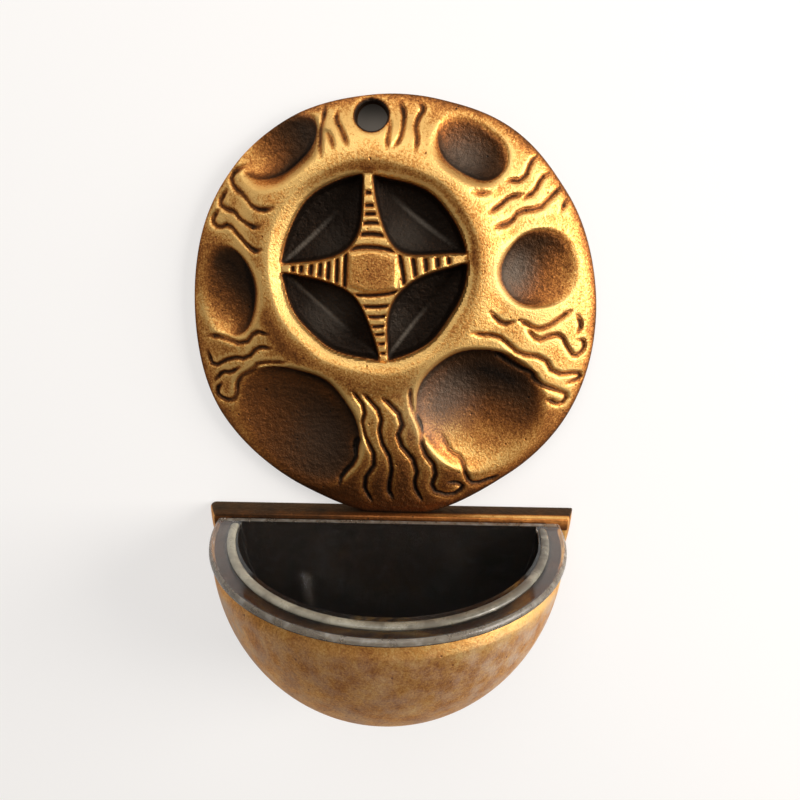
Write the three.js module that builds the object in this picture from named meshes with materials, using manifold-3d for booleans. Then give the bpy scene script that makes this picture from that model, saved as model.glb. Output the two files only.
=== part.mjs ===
// A household holy water stoup that hangs on a wall. A domed bronze medallion, with a
// star cross in a raised ring, stands on the back plate of a half-round bronze bowl, and
// a clear half-round liner with a wide rim hangs in the bowl and holds the water.
// Millimetres. +X is to the right, +Y into the wall and +Z up. The wall is at Y = 0, and
// the origin is on the axis of the hanging hole.
import * as THREE from 'three';
import { ConvexGeometry } from 'three/addons/geometries/ConvexGeometry.js';
import { mergeVertices } from 'three/addons/utils/BufferGeometryUtils.js';
import Module from 'manifold-3d';

// Medallion: a dome on a thin upright edge
const DISC_RADIUS = 54.8;
const DISC_EDGE = 3.2;
const DISC_CROWN = 7.2;
const CROWN_FLATNESS = 3.2;
const CROWN_SHOULDER = 0.85;
const BACK_RECESS_RADIUS = 34;
const BACK_RECESS_DEPTH = 2;

// Foot: the disc's edge swells and thickens downwards, and is cut flat above the bowl's plate
const FOOT_ANGLE = -84;
const FOOT_RISE = 2;
const FOOT_SPREAD = 32;
const FOOT_EDGE = 2.2;
const FOOT_EDGE_SPREAD = 50;
const FOOT_REACH = 1.2;

// Where the disc's outline swells or is flattened: direction, rise and half width in degrees
const OUTLINE_LUMPS = [
  { angle: FOOT_ANGLE, rise: FOOT_RISE, spread: FOOT_SPREAD },
  { angle: -34, rise: 1.15, spread: 34 },
  { angle: 14, rise: -0.4, spread: 22 },
  { angle: 59, rise: 0.8, spread: 20 },
  { angle: 123, rise: 0.8, spread: 26 },
  { angle: 177, rise: -1.75, spread: 34 },
];

// Hanging hole, placed from the middle of the disc
const HOLE_DIAMETER = 7.6;
const HOLE_X = -6;
const HOLE_BELOW_TOP = 5.5;

// Raised ring and the star cross inside it, placed from the middle of the disc
const RING_X = -5;
const RING_Z = 13.7;
const RING_INSIDE_RADIUS = 23.6;
const RING_CREST_RADIUS = 27.6;
const RING_SLOPE_RADIUS = 36;
const RING_SLOPE_FALL = 4;
const RING_HEIGHT = 11.2;
const STAR_X = -5.3;
const STAR_Z = 12.5;
const STAR_ARMS = [10.5, 92.7, 177.2, 277];
const STAR_HEIGHT = 10.6;
const STAR_TIP_DROP = 1.2;
const STAR_WAIST = 7.7;
const STAR_TAPER = 1;
const POCKET_WALL = 3.4;
const POCKET_WALL_RUN = 1;
const POCKET_SLOPE = 0.33;
const BOSS_WIDTH = 12.2;
const BOSS_HEIGHT = 10.4;
const BOSS_ABOVE = 0.75;
const BOSS_CORNER = 3;
const BOSS_RISE = 0.7;

// Thumb hollows round the ring: direction of the hollow's middle from the middle of the
// disc, how far in from the disc's edge it is, half sizes along and across, turn and depth
const HOLLOWS = [
  { angle: 124.5, inset: 3, along: 11, across: 6.2, turn: 35, depth: 2.6 },
  { angle: 66.8, inset: 7.6, along: 9.8, across: 7, turn: -32, depth: 3.2 },
  { angle: 170.5, inset: 10, along: 12, across: 8.5, turn: 100, depth: 3.2 },
  { angle: 21.3, inset: 13.6, along: 11.2, across: 10, turn: 0, depth: 3.8 },
  { angle: 227.9, inset: 13, along: 18, across: 20, turn: 45, depth: 4.4 },
  { angle: 316.7, inset: 19.1, along: 20, across: 17.5, turn: -35, depth: 4.8 },
];

// Bowl: a quarter of a hollow ball in front of a half-round plate
const PLATE_X = 0.65;
const PLATE_RADIUS = 55.1;
const PLATE_DRAFT = 3.6;
const PLATE_THICKNESS = 7.6;
const PLATE_CORNER = 2;
const PLATE_ABOVE_LINER = 1.35;
const BOWL_WALL = 4;
const BOWL_FLOOR = 6;
const SEAM = 0.3;

// Liner: a clear quarter ball with a back wall, a flat rim and a bead inside the rim
const LINER_INSIDE_RADIUS = 42.4;
const LINER_WALL = 1.6;
const LINER_GAP = 1.2;
const LINER_BACK_GAP = 0.3;
const LINER_SEAT_GAP = 0.2;
const RIM_RADIUS = 49.8;
const RIM_THICKNESS = 1.7;
const BEAD_WIDTH = 2.2;
const BEAD_RISE = 0.9;

// Strap across the two backs, and its screws
const STRAP_WIDTH = 18;
const STRAP_THICKNESS = 2;
const STRAP_CORNER = 2;
const STRAP_SINK = 0.3;
const STRAP_FIT = 0.3;
const STRAP_END = 7;
const SCREW_ROW_ABOVE = 11;
const SCREW_ROW_BELOW = 15;
const SCREW_SPACING = 10;
const SCREW_LENGTH = 4.6;
const SCREW_RADIUS = 1.5;
const SCREW_HEAD_RADIUS = 2.75;
const SCREW_HEAD_DEPTH = 1.6;
const SCREW_HEAD_EDGE = 0.2;
const SCREW_TIP = 0.5;
const SCREW_SLOT_WIDTH = 0.8;
const SCREW_SLOT_DEPTH = 0.8;
const SCREW_FIT = 0.2;

// Facets on round work, how far a cutter runs past what it cuts, and how near points are one
const DISC_FACETS = 48;
const CROWN_STEPS = 9;
const RING_STEPS = 4;
const POCKET_STEPS = 8;
const NARROWINGS = 40;
const BALL_FACETS = 40;
const BALL_STEPS = 12;
const HOLLOW_FACETS = 16;
const CORNER_FACETS = 4;
const SCREW_FACETS = 16;
const PAST = 2;
const SAME_POINT = 1e-4;

// Heights that follow, up from the middle of the disc
const HOLE_Z = DISC_RADIUS - HOLE_BELOW_TOP;
const PLATE_TOP = -DISC_RADIUS - FOOT_REACH;
const LINER_TOP = PLATE_TOP - PLATE_ABOVE_LINER;
const BOWL_RIM = LINER_TOP - RIM_THICKNESS - LINER_SEAT_GAP;
const PLATE_FRONT = -PLATE_THICKNESS;
const LINER_BACK = PLATE_FRONT - LINER_BACK_GAP;
const LINER_OUTSIDE_RADIUS = LINER_INSIDE_RADIUS + LINER_WALL;
const BOWL_INSIDE_RADIUS = LINER_OUTSIDE_RADIUS + LINER_GAP;
const BOWL_RADIUS = BOWL_INSIDE_RADIUS + BOWL_WALL;
const BOWL_DEPTH = BOWL_INSIDE_RADIUS + BOWL_FLOOR;
const STRAP_TOP = PLATE_TOP + SCREW_ROW_ABOVE + STRAP_END;
const STRAP_BOTTOM = PLATE_TOP - SCREW_ROW_BELOW - STRAP_END;
const CHANNEL_DEPTH = STRAP_SINK + STRAP_THICKNESS + STRAP_FIT;

const wasm = await Module();
wasm.setup();

// A closed three.js geometry as a solid that can be joined and cut
function solidOf(geometry) {
  const bare = geometry.index ? geometry.toNonIndexed() : geometry.clone();
  bare.deleteAttribute('normal');
  bare.deleteAttribute('uv');
  const merged = mergeVertices(bare, SAME_POINT);
  const corners = [];
  for (let i = 0; i < merged.index.count; i += 3) {
    const [a, b, c] = [0, 1, 2].map((k) => merged.index.getX(i + k));
    if (a !== b && b !== c && c !== a) corners.push(a, b, c);
  }
  return new wasm.Manifold(new wasm.Mesh({
    numProp: 3,
    vertProperties: new Float32Array(merged.attributes.position.array),
    triVerts: new Uint32Array(corners),
  }));
}

// A solid's surface as a geometry again
function geometryOf(solid) {
  const mesh = solid.getMesh();
  const geometry = new THREE.BufferGeometry();
  geometry.setAttribute('position', new THREE.BufferAttribute(mesh.vertProperties, 3));
  geometry.setIndex(new THREE.BufferAttribute(mesh.triVerts, 1));
  geometry.computeVertexNormals();
  return geometry;
}

// A block between two corners
function block(low, high) {
  const size = high.map((value, i) => value - low[i]);
  const middle = high.map((value, i) => (value + low[i]) / 2);
  return solidOf(new THREE.BoxGeometry(...size).translate(...middle));
}

// A profile of [radius, y] points, turned round an axis along Y
function turnedAlongY(points, facets, x = 0, z = 0) {
  const profile = points.map(([radius, y]) => new THREE.Vector2(radius, y));
  return solidOf(new THREE.LatheGeometry(profile, facets).translate(x, 0, z));
}

// One in a direction from the middle of the disc, falling to nothing at a spread on both sides
function swell(x, z, angle, spread) {
  const direction = THREE.MathUtils.radToDeg(Math.atan2(z, x));
  const off = THREE.MathUtils.euclideanModulo(direction - angle + 180, 360) - 180;
  return Math.max(0, 1 - (off / spread) ** 2) ** 2;
}

// The disc's uneven outline in a direction, as a share of its plain radius
function outlineShare(x, z) {
  const rises = OUTLINE_LUMPS.map(({ angle, rise, spread }) => rise * swell(x, z, angle, spread));
  return 1 + rises.reduce((sum, rise) => sum + rise, 0) / DISC_RADIUS;
}

// A geometry with each of its points moved
function moved(geometry, move) {
  const spots = geometry.attributes.position;
  for (let i = 0; i < spots.count; i += 1) {
    spots.setXYZ(i, ...move(spots.getX(i), spots.getY(i), spots.getZ(i)));
  }
  return geometry;
}

// A profile turned round the middle of the disc and drawn to the disc's uneven outline
function turnedToOutline(points) {
  const profile = points.map(([radius, y]) => new THREE.Vector2(radius, y));
  return moved(new THREE.LatheGeometry(profile, DISC_FACETS), (x, y, z) => {
    const share = outlineShare(x, z);
    return [x * share, y, z * share];
  });
}

// A profile of [radius, z] points, turned round the upright axis of the bowl
function turnedAlongZ(points) {
  const profile = points.map(([radius, z]) => new THREE.Vector2(radius, z));
  const turned = new THREE.LatheGeometry(profile, BALL_FACETS).rotateX(Math.PI / 2);
  return solidOf(turned.translate(0, PLATE_FRONT, 0));
}

// A flat outline in X and Z, standing out from the wall to a thickness
function plateFrom(shape, thickness, curveSegments) {
  const settings = { depth: thickness, bevelEnabled: false, curveSegments };
  return solidOf(new THREE.ExtrudeGeometry(shape, settings).rotateX(Math.PI / 2));
}

// A rectangle with round corners
function roundedRectangle(left, bottom, right, top, corner) {
  const shape = new THREE.Shape();
  shape.moveTo(left + corner, bottom);
  shape.absarc(right - corner, bottom + corner, corner, -Math.PI / 2, 0);
  shape.absarc(right - corner, top - corner, corner, 0, Math.PI / 2);
  shape.absarc(left + corner, top - corner, corner, Math.PI / 2, Math.PI);
  shape.absarc(left + corner, bottom + corner, corner, Math.PI, Math.PI * 1.5);
  return shape;
}

// Height of the dome above the wall at a distance from the middle of the disc
function crownHeight(distance) {
  const share = Math.min(distance / DISC_RADIUS, 1);
  return DISC_EDGE + DISC_CROWN * (1 - share ** CROWN_FLATNESS) ** CROWN_SHOULDER;
}

// The plain dome of the medallion, with its edge thickened and cut flat at the foot
function dome() {
  const profile = [];
  for (let step = 0; step <= CROWN_STEPS; step += 1) {
    const distance = DISC_RADIUS * Math.sin((step / CROWN_STEPS) * Math.PI / 2);
    profile.push([distance, -crownHeight(distance)]);
  }
  profile.push([DISC_RADIUS, 0], [0, 0]);
  const top = DISC_EDGE + DISC_CROWN;
  const thickened = moved(turnedToOutline(profile), (x, y, z) => {
    const rise = FOOT_EDGE * swell(x, z, FOOT_ANGLE, FOOT_EDGE_SPREAD) * (top + y) / DISC_CROWN;
    return [x, y < 0 ? y - rise : y, z];
  });
  const beyond = DISC_RADIUS + FOOT_RISE + PAST;
  const below = block([-beyond, -top - PAST, -beyond], [beyond, PAST, PLATE_TOP + SEAM]);
  return solidOf(thickened).subtract(below);
}

// Height of the field that the star is carved from, lower towards the tips of the arms
function fieldHeight(distance) {
  return STAR_HEIGHT - STAR_TIP_DROP * (distance / RING_INSIDE_RADIUS) ** 2;
}

// Height of the ring: a steep slope inside its crest and a long one outside
function ringHeight(distance) {
  const inner = (RING_CREST_RADIUS - distance) / (RING_CREST_RADIUS - RING_INSIDE_RADIUS);
  const outer = (distance - RING_CREST_RADIUS) / (RING_SLOPE_RADIUS - RING_CREST_RADIUS);
  if (inner > 0) return RING_HEIGHT - (RING_HEIGHT - fieldHeight(RING_INSIDE_RADIUS)) * inner ** 2;
  return RING_HEIGHT - RING_SLOPE_FALL * outer ** 2;
}

// The raised ring with the field inside it, kept within the disc's outline
function ringAndField() {
  const inside = RING_INSIDE_RADIUS;
  const crest = RING_CREST_RADIUS;
  const fall = Math.sqrt((RING_HEIGHT - DISC_EDGE) / RING_SLOPE_FALL);
  const outside = crest + (RING_SLOPE_RADIUS - crest) * fall;
  const profile = [0, inside / 2].map((distance) => [distance, -fieldHeight(distance)]);
  for (const [from, to] of [[inside, crest], [crest, outside]]) {
    for (let step = 0; step < RING_STEPS; step += 1) {
      const distance = from + (to - from) * (step / RING_STEPS);
      profile.push([distance, -ringHeight(distance)]);
    }
  }
  profile.push([outside, -DISC_EDGE], [0, -DISC_EDGE]);
  const front = -RING_HEIGHT - PAST;
  const room = turnedToOutline([[0, front], [DISC_RADIUS, front], [DISC_RADIUS, 0], [0, 0]]);
  return turnedAlongY(profile, DISC_FACETS, RING_X, RING_Z).intersect(solidOf(room));
}

// The outline of one pocket: the hollow side of the star between two arms, and the ring
function pocketOutline(first, second) {
  const ring = new THREE.Vector2(RING_X, RING_Z);
  const arms = [first, second].map((arm) => THREE.MathUtils.degToRad(arm));
  const [one, other] = arms.map((arm) => new THREE.Vector2(Math.cos(arm), Math.sin(arm)));
  const waist = STAR_WAIST / Math.SQRT2 + STAR_TAPER;
  const onStar = (along) => new THREE.Vector2(STAR_X, STAR_Z)
    .addScaledVector(one, waist * Math.exp(along) - STAR_TAPER)
    .addScaledVector(other, waist * Math.exp(-along) - STAR_TAPER);
  const [start, end] = [-1, 1].map((way) => {
    let [near, far] = [0, way * Math.log(RING_INSIDE_RADIUS)];
    for (let i = 0; i < NARROWINGS; i += 1) {
      const middle = (near + far) / 2;
      if (onStar(middle).distanceTo(ring) < RING_INSIDE_RADIUS) near = middle;
      else far = middle;
    }
    return near;
  });
  const [from, to] = [end, start].map((along) => onStar(along).sub(ring).angle());
  const turn = THREE.MathUtils.euclideanModulo(to - from, Math.PI * 2);
  const outline = [];
  for (let step = 0; step < POCKET_STEPS; step += 1) {
    outline.push(onStar(start + (end - start) * (step / POCKET_STEPS)));
  }
  for (let step = 0; step < POCKET_STEPS; step += 1) {
    const angle = from + turn * (step / POCKET_STEPS);
    const direction = new THREE.Vector2(Math.cos(angle), Math.sin(angle));
    outline.push(direction.multiplyScalar(RING_INSIDE_RADIUS).add(ring));
  }
  return outline;
}

// One pocket: steep walls, and a floor that slopes to its middle
function pocket(first, second) {
  const outline = pocketOutline(first, second);
  const middle = outline.reduce((sum, spot) => sum.add(spot), new THREE.Vector2());
  middle.divideScalar(outline.length);
  const reach = Math.min(...outline.map((spot) => spot.distanceTo(middle)));
  const level = STAR_HEIGHT - STAR_TIP_DROP / 2;
  const layer = (inset, height) => outline.map((spot) => {
    const drawn = spot.clone().lerp(middle, inset / spot.distanceTo(middle));
    return new THREE.Vector3(drawn.x, -height, drawn.y);
  });
  const floor = level - POCKET_WALL - POCKET_SLOPE * reach;
  return solidOf(new ConvexGeometry([
    ...layer(0, RING_HEIGHT + PAST),
    ...layer(0, level),
    ...layer(POCKET_WALL_RUN, level - POCKET_WALL - POCKET_SLOPE * POCKET_WALL_RUN),
    new THREE.Vector3(middle.x, -floor, middle.y),
  ]));
}

// The four pockets between the arms
function pockets() {
  return STAR_ARMS.map((arm, i) => pocket(arm, STAR_ARMS[(i + 1) % STAR_ARMS.length]));
}

// The boss in the middle of the star
function boss() {
  const outline = roundedRectangle(
    -BOSS_WIDTH / 2, -BOSS_HEIGHT / 2, BOSS_WIDTH / 2, BOSS_HEIGHT / 2, BOSS_CORNER,
  );
  const pad = plateFrom(outline, POCKET_WALL + BOSS_RISE, CORNER_FACETS);
  return pad.translate([STAR_X, POCKET_WALL - STAR_HEIGHT, STAR_Z + BOSS_ABOVE]);
}

// One thumb hollow: a flattened ball with its middle on the dome
function hollow({ angle, inset, along, across, turn, depth }) {
  const direction = THREE.MathUtils.degToRad(angle);
  const distance = DISC_RADIUS - inset;
  const ball = new THREE.SphereGeometry(1, HOLLOW_FACETS, HOLLOW_FACETS / 2).scale(along, depth, across);
  ball.rotateY(THREE.MathUtils.degToRad(-turn));
  return solidOf(ball.translate(
    distance * Math.cos(direction), -crownHeight(distance), distance * Math.sin(direction),
  ));
}

// The channel for the strap, cut into both backs
function strapChannel() {
  const half = STRAP_WIDTH / 2 + STRAP_FIT;
  return block(
    [-half, -CHANNEL_DEPTH, STRAP_BOTTOM - STRAP_FIT],
    [half, PAST, STRAP_TOP + STRAP_FIT],
  );
}

// A countersunk screw with its head at the back of the strap, grown by a clearance
function screwBody([x, z], clearance) {
  const shank = SCREW_RADIUS + clearance;
  const head = SCREW_HEAD_RADIUS + clearance;
  const back = -STRAP_SINK;
  const tip = back - SCREW_LENGTH - clearance;
  const mouth = clearance > 0 ? PAST : back;
  return turnedAlongY([
    [0, tip],
    [shank - SCREW_TIP, tip],
    [shank, tip + SCREW_TIP],
    [shank, back - SCREW_HEAD_DEPTH],
    [head, back - SCREW_HEAD_EDGE],
    [head, mouth],
    [0, mouth],
  ], SCREW_FACETS, x, z);
}

// Screw places: a row in the medallion and a row in the bowl's plate
const screwPlaces = [PLATE_TOP + SCREW_ROW_ABOVE, PLATE_TOP - SCREW_ROW_BELOW].flatMap(
  (z) => [[-SCREW_SPACING / 2, z], [SCREW_SPACING / 2, z]],
);

function drilledForScrews(solid) {
  return screwPlaces.reduce((rest, place) => rest.subtract(screwBody(place, SCREW_FIT)), solid);
}

function medallion() {
  let body = dome().add(ringAndField());
  for (const cutter of pockets()) body = body.subtract(cutter);
  body = body.add(boss());
  for (const place of HOLLOWS) body = body.subtract(hollow(place));
  const bore = HOLE_DIAMETER / 2;
  const ends = [-DISC_EDGE - DISC_CROWN - PAST, PAST];
  body = body.subtract(turnedAlongY(
    [[0, ends[0]], [bore, ends[0]], [bore, ends[1]], [0, ends[1]]], DISC_FACETS / 2, HOLE_X, HOLE_Z,
  ));
  const [wide, deep] = [BACK_RECESS_RADIUS, -BACK_RECESS_DEPTH];
  body = body.subtract(turnedAlongY([[0, deep], [wide, deep], [wide, PAST], [0, PAST]], DISC_FACETS));
  return drilledForScrews(body.subtract(strapChannel()));
}

// The half-round outline of the bowl's plate, with one top corner rounded
function plateOutline() {
  const shape = new THREE.Shape();
  const left = PLATE_X - PLATE_RADIUS + PLATE_CORNER;
  shape.moveTo(PLATE_X + PLATE_RADIUS, PLATE_TOP);
  shape.lineTo(left, PLATE_TOP);
  shape.absarc(left, PLATE_TOP - PLATE_CORNER, PLATE_CORNER, Math.PI / 2, Math.PI);
  shape.absarc(PLATE_X, PLATE_TOP - PLATE_CORNER, PLATE_RADIUS, Math.PI, Math.PI * 2);
  return shape;
}

// The bowl's plate, narrower towards its front
function plate() {
  const settings = { depth: PLATE_THICKNESS, bevelEnabled: false, curveSegments: BALL_FACETS / 2 };
  const outline = new THREE.ExtrudeGeometry(plateOutline(), settings).rotateX(Math.PI / 2);
  return solidOf(moved(outline, (x, y, z) => {
    const share = 1 + (PLATE_DRAFT / PLATE_RADIUS) * (y / PLATE_THICKNESS);
    return [PLATE_X + (x - PLATE_X) * share, y, PLATE_TOP + (z - PLATE_TOP) * share];
  }));
}

// The part of a solid in front of an upright plane
function inFrontOf(back, solid) {
  const reach = RIM_RADIUS + BOWL_DEPTH;
  return solid.intersect(block(
    [-reach, PLATE_FRONT - reach, BOWL_RIM - reach],
    [reach, back, BOWL_RIM + reach],
  ));
}

// A quarter ball with a straight neck up to its top, in front of an upright plane
function well(radius, depth, back, top) {
  const profile = [];
  for (let step = 0; step <= BALL_STEPS; step += 1) {
    const angle = (step / BALL_STEPS) * Math.PI / 2;
    profile.push([radius * Math.sin(angle), BOWL_RIM - depth * Math.cos(angle)]);
  }
  profile.push([radius, top], [0, top]);
  return inFrontOf(back, turnedAlongZ(profile));
}

function bowl() {
  const shell = well(BOWL_RADIUS, BOWL_DEPTH, PLATE_FRONT + PAST, BOWL_RIM);
  const cavity = well(BOWL_INSIDE_RADIUS, BOWL_INSIDE_RADIUS, PLATE_FRONT, BOWL_RIM + PAST);
  const body = plate().add(shell).subtract(cavity);
  return drilledForScrews(body.subtract(strapChannel()));
}

function liner() {
  const underside = LINER_TOP - RIM_THICKNESS;
  const beadTop = LINER_TOP + BEAD_RISE;
  const beadOutside = LINER_INSIDE_RADIUS + BEAD_WIDTH;
  const round = BEAD_WIDTH / 4;
  const inside = LINER_BACK - LINER_WALL;
  const rim = inFrontOf(LINER_BACK, turnedAlongZ([
    [0, underside], [RIM_RADIUS, underside], [RIM_RADIUS, LINER_TOP], [0, LINER_TOP],
  ]));
  const bead = inFrontOf(inside, turnedAlongZ([
    [0, underside], [beadOutside, underside], [beadOutside, beadTop - round],
    [beadOutside - round, beadTop], [LINER_INSIDE_RADIUS + round, beadTop],
    [LINER_INSIDE_RADIUS - round, beadTop - round * 2], [0, beadTop - round * 2],
  ]));
  const cup = well(LINER_OUTSIDE_RADIUS, LINER_OUTSIDE_RADIUS, LINER_BACK, LINER_TOP);
  const room = well(LINER_INSIDE_RADIUS, LINER_INSIDE_RADIUS, inside, LINER_TOP + PAST);
  return cup.add(rim).add(bead).subtract(room);
}

function joiningStrap() {
  const outline = roundedRectangle(
    -STRAP_WIDTH / 2, STRAP_BOTTOM, STRAP_WIDTH / 2, STRAP_TOP, STRAP_CORNER,
  );
  return drilledForScrews(plateFrom(outline, STRAP_THICKNESS, CORNER_FACETS).translate([0, -STRAP_SINK, 0]));
}

function strapScrew([x, z]) {
  const half = SCREW_SLOT_WIDTH / 2;
  const slot = block(
    [x - SCREW_HEAD_RADIUS - PAST, -STRAP_SINK - SCREW_SLOT_DEPTH, z - half],
    [x + SCREW_HEAD_RADIUS + PAST, PAST, z + half],
  );
  return screwBody([x, z], 0).subtract(slot);
}

const bronze = () => new THREE.MeshStandardMaterial({ color: 0xa9782f, roughness: 0.42, metalness: 0.9 });
const brass = () => new THREE.MeshStandardMaterial({ color: 0xb9974f, roughness: 0.35, metalness: 0.95 });
const clear = () => new THREE.MeshStandardMaterial({
  color: 0xc9cac4, roughness: 0.15, metalness: 0, transparent: true, opacity: 0.35,
});

// Everything is drawn from the middle of the disc, and moved to put the hole at the origin
const stoup = new THREE.Group();
const drawing = new THREE.Group();
drawing.position.set(-HOLE_X, 0, -HOLE_Z);
stoup.add(drawing);

function place(name, solid, material) {
  const mesh = new THREE.Mesh(geometryOf(solid), material);
  mesh.name = name;
  drawing.add(mesh);
}

place('medallion', medallion(), bronze());
place('bowl', bowl(), bronze());
place('liner', liner(), clear());
place('joining_strap', joiningStrap(), brass());
screwPlaces.forEach((spot, i) => place(`strap_screw_${i + 1}`, strapScrew(spot), brass()));

export default stoup;
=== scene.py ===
# A household holy water stoup: a carved bronze medallion on a half-round bronze bowl, with
# a clear liner that lifts out. Sizes are in millimetres and drawn from the middle of the
# medallion's disc: x to the right, z up, and y into the wall, whose face is y = 0.
import math

import bpy
import numpy as np
from mathutils import Matrix, Vector


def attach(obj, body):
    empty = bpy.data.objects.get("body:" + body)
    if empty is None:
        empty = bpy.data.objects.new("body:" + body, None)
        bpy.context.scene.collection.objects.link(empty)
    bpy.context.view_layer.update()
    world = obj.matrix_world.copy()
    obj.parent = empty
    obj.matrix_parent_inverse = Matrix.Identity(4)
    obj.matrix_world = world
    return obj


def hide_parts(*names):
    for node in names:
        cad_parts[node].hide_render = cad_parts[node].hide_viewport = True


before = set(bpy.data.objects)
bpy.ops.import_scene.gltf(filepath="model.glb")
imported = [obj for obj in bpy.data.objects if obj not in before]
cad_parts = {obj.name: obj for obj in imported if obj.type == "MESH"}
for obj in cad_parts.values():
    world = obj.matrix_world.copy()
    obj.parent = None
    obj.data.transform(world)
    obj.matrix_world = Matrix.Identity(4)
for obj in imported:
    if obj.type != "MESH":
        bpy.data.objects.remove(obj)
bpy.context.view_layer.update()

MM = 0.001

# Medallion: a dome on a thin upright edge, with a foot on the bowl's plate
DISC_RADIUS = 54.8
DISC_EDGE = 3.2
DISC_CROWN = 7.2
CROWN_FLATNESS = 3.2
CROWN_SHOULDER = 0.85
BACK_RECESS_RADIUS = 34
BACK_RECESS_DEPTH = 2
BACK_ROUND = 0.4

# Foot: the disc's edge swells and thickens downwards, and is cut flat above the bowl's plate
FOOT_ANGLE = -84
FOOT_RISE = 2
FOOT_SPREAD = 32
FOOT_EDGE = 2.2
FOOT_EDGE_SPREAD = 50
FOOT_REACH = 1.2
SEAM = 0.3

# Where the disc's outline swells or is flattened: direction, rise and half width in degrees
OUTLINE_LUMPS = (
    (FOOT_ANGLE, FOOT_RISE, FOOT_SPREAD),
    (-34, 1.15, 34), (14, -0.4, 22), (59, 0.8, 20), (123, 0.8, 26), (177, -1.75, 34),
)

# Hanging hole, with a worn rim
HOLE_RADIUS = 3.8
HOLE_X = -6
HOLE_Z = DISC_RADIUS - 5.5
HOLE_RIM_WIDTH = 1.3
HOLE_RIM_DROP = 1
HOLE_RIM_PATINA = 0.75
HOLE_RIM_REACH = 0.9

# Raised ring and the star cross inside it
RING_X = -5
RING_Z = 13.7
RING_INSIDE = 23.6
RING_CREST = 26.4
RING_SLOPE_RADIUS = 36
RING_SLOPE_FALL = 4
RING_HEIGHT = 11.2
RING_INNER_POWER = 1.25
RING_BLEND = 1.6
RING_FLAT = 1.1
RING_FLAT_ANGLE = 92
RING_FLAT_SPREAD = 62
STAR_X = -5.3
STAR_Z = 12.5
STAR_HEIGHT = 10.6
STAR_TIP_DROP = 1.2
STAR_WAIST = 7.7
STAR_TAPER = 1
STAR_ARMS = (10.5, 92.7, 177.2, 277)
POCKET_WALL = 3.4
POCKET_WALL_RUN = 1.7
POCKET_SLOPE = 0.33
POCKET_CORNER = 1.2
BOSS_WIDTH = 12.2
BOSS_HEIGHT = 8.4
BOSS_ABOVE = 0.75
BOSS_BULGE = 1.2
BOSS_RISE = 0.7
BOSS_SLOPE = 0.9

# Grooves across the arms of the star, in the order of the arms: distances from the middle, width and bow
RIB_GROOVES = (
    ((7.4, 10.6, 13.5, 16.2, 18.9), 2.1, 0),
    ((6.7, 9.6, 12.2, 14.4, 16.5, 19.5), 1.8, 0.025),
    ((6.9, 9.1, 11.4, 13.5, 15.7, 18, 20), 1.9, 0),
    ((5.3, 8.1, 10.5, 12.9, 15.1, 17.8, 20.4), 1.5, 0.02),
)
RIB_DEPTH = 0.9
RIB_FADE = 0.6
RIB_EDGE = 0.25

# Thumb hollows: direction and distance in from the edge, half sizes, turn and depth
HOLLOWS = (
    dict(angle=124.5, inset=3, along=11, across=6.2, turn=35, depth=2.6),
    dict(angle=66.8, inset=7.6, along=9.8, across=7, turn=-32, depth=3.2),
    dict(angle=170.5, inset=10, along=12, across=8.5, turn=100, depth=3.2),
    dict(angle=21.3, inset=13.6, along=11.2, across=10, turn=0, depth=3.8),
    dict(angle=227.9, inset=13, along=18, across=20, turn=45, depth=4.4),
    dict(angle=316.7, inset=19.1, along=20, across=17.5, turn=-35, depth=4.8),
)
HOLLOW_BLEND = 1.1
HOLLOW_RISE = 2

# Patina of the hollows, partly painted shade and light: where darkest, where lightest, and in which
# direction they lighten
HOLLOW_PATINA_AND_SHADE = (
    (0.6, -0.04, 215), (0.55, 0.24, 100), (0.66, -0.16, 225),
    (0.58, 0.04, -35), (0.38, -0.04, 220), (0.84, -0.42, 255),
)

# Pale patches in the recesses: place, reach and share of each patch. Along the pockets' valleys and over
# the pockets they are painted sheen; on the hollows' floors, dust and painted sheen
VALLEY_WIDTH = 1.4
POCKET_SHEEN_EDGE = 2
VALLEY_SHEEN = ((-21, 18, 13, 0.7), (6, 24, 12, 0.6), (-19, 5, 12, 0.6), (2, -2, 12, 0.75))
POCKET_SHEEN = ((-17, 2, 9, 0.2), (3, 22, 8, 0.13), (1, 0, 7, 0.12), (-16, 20, 7, 0.08))
FLOOR_DUST_AND_SHEEN = (
    (17, 42, 8, 0.35), (31, 13, 9, 0.5), (13, -23, 15, 0.66), (-20, 46, 7, 0.12), (-20, -34, 14, 0.12),
)

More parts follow.
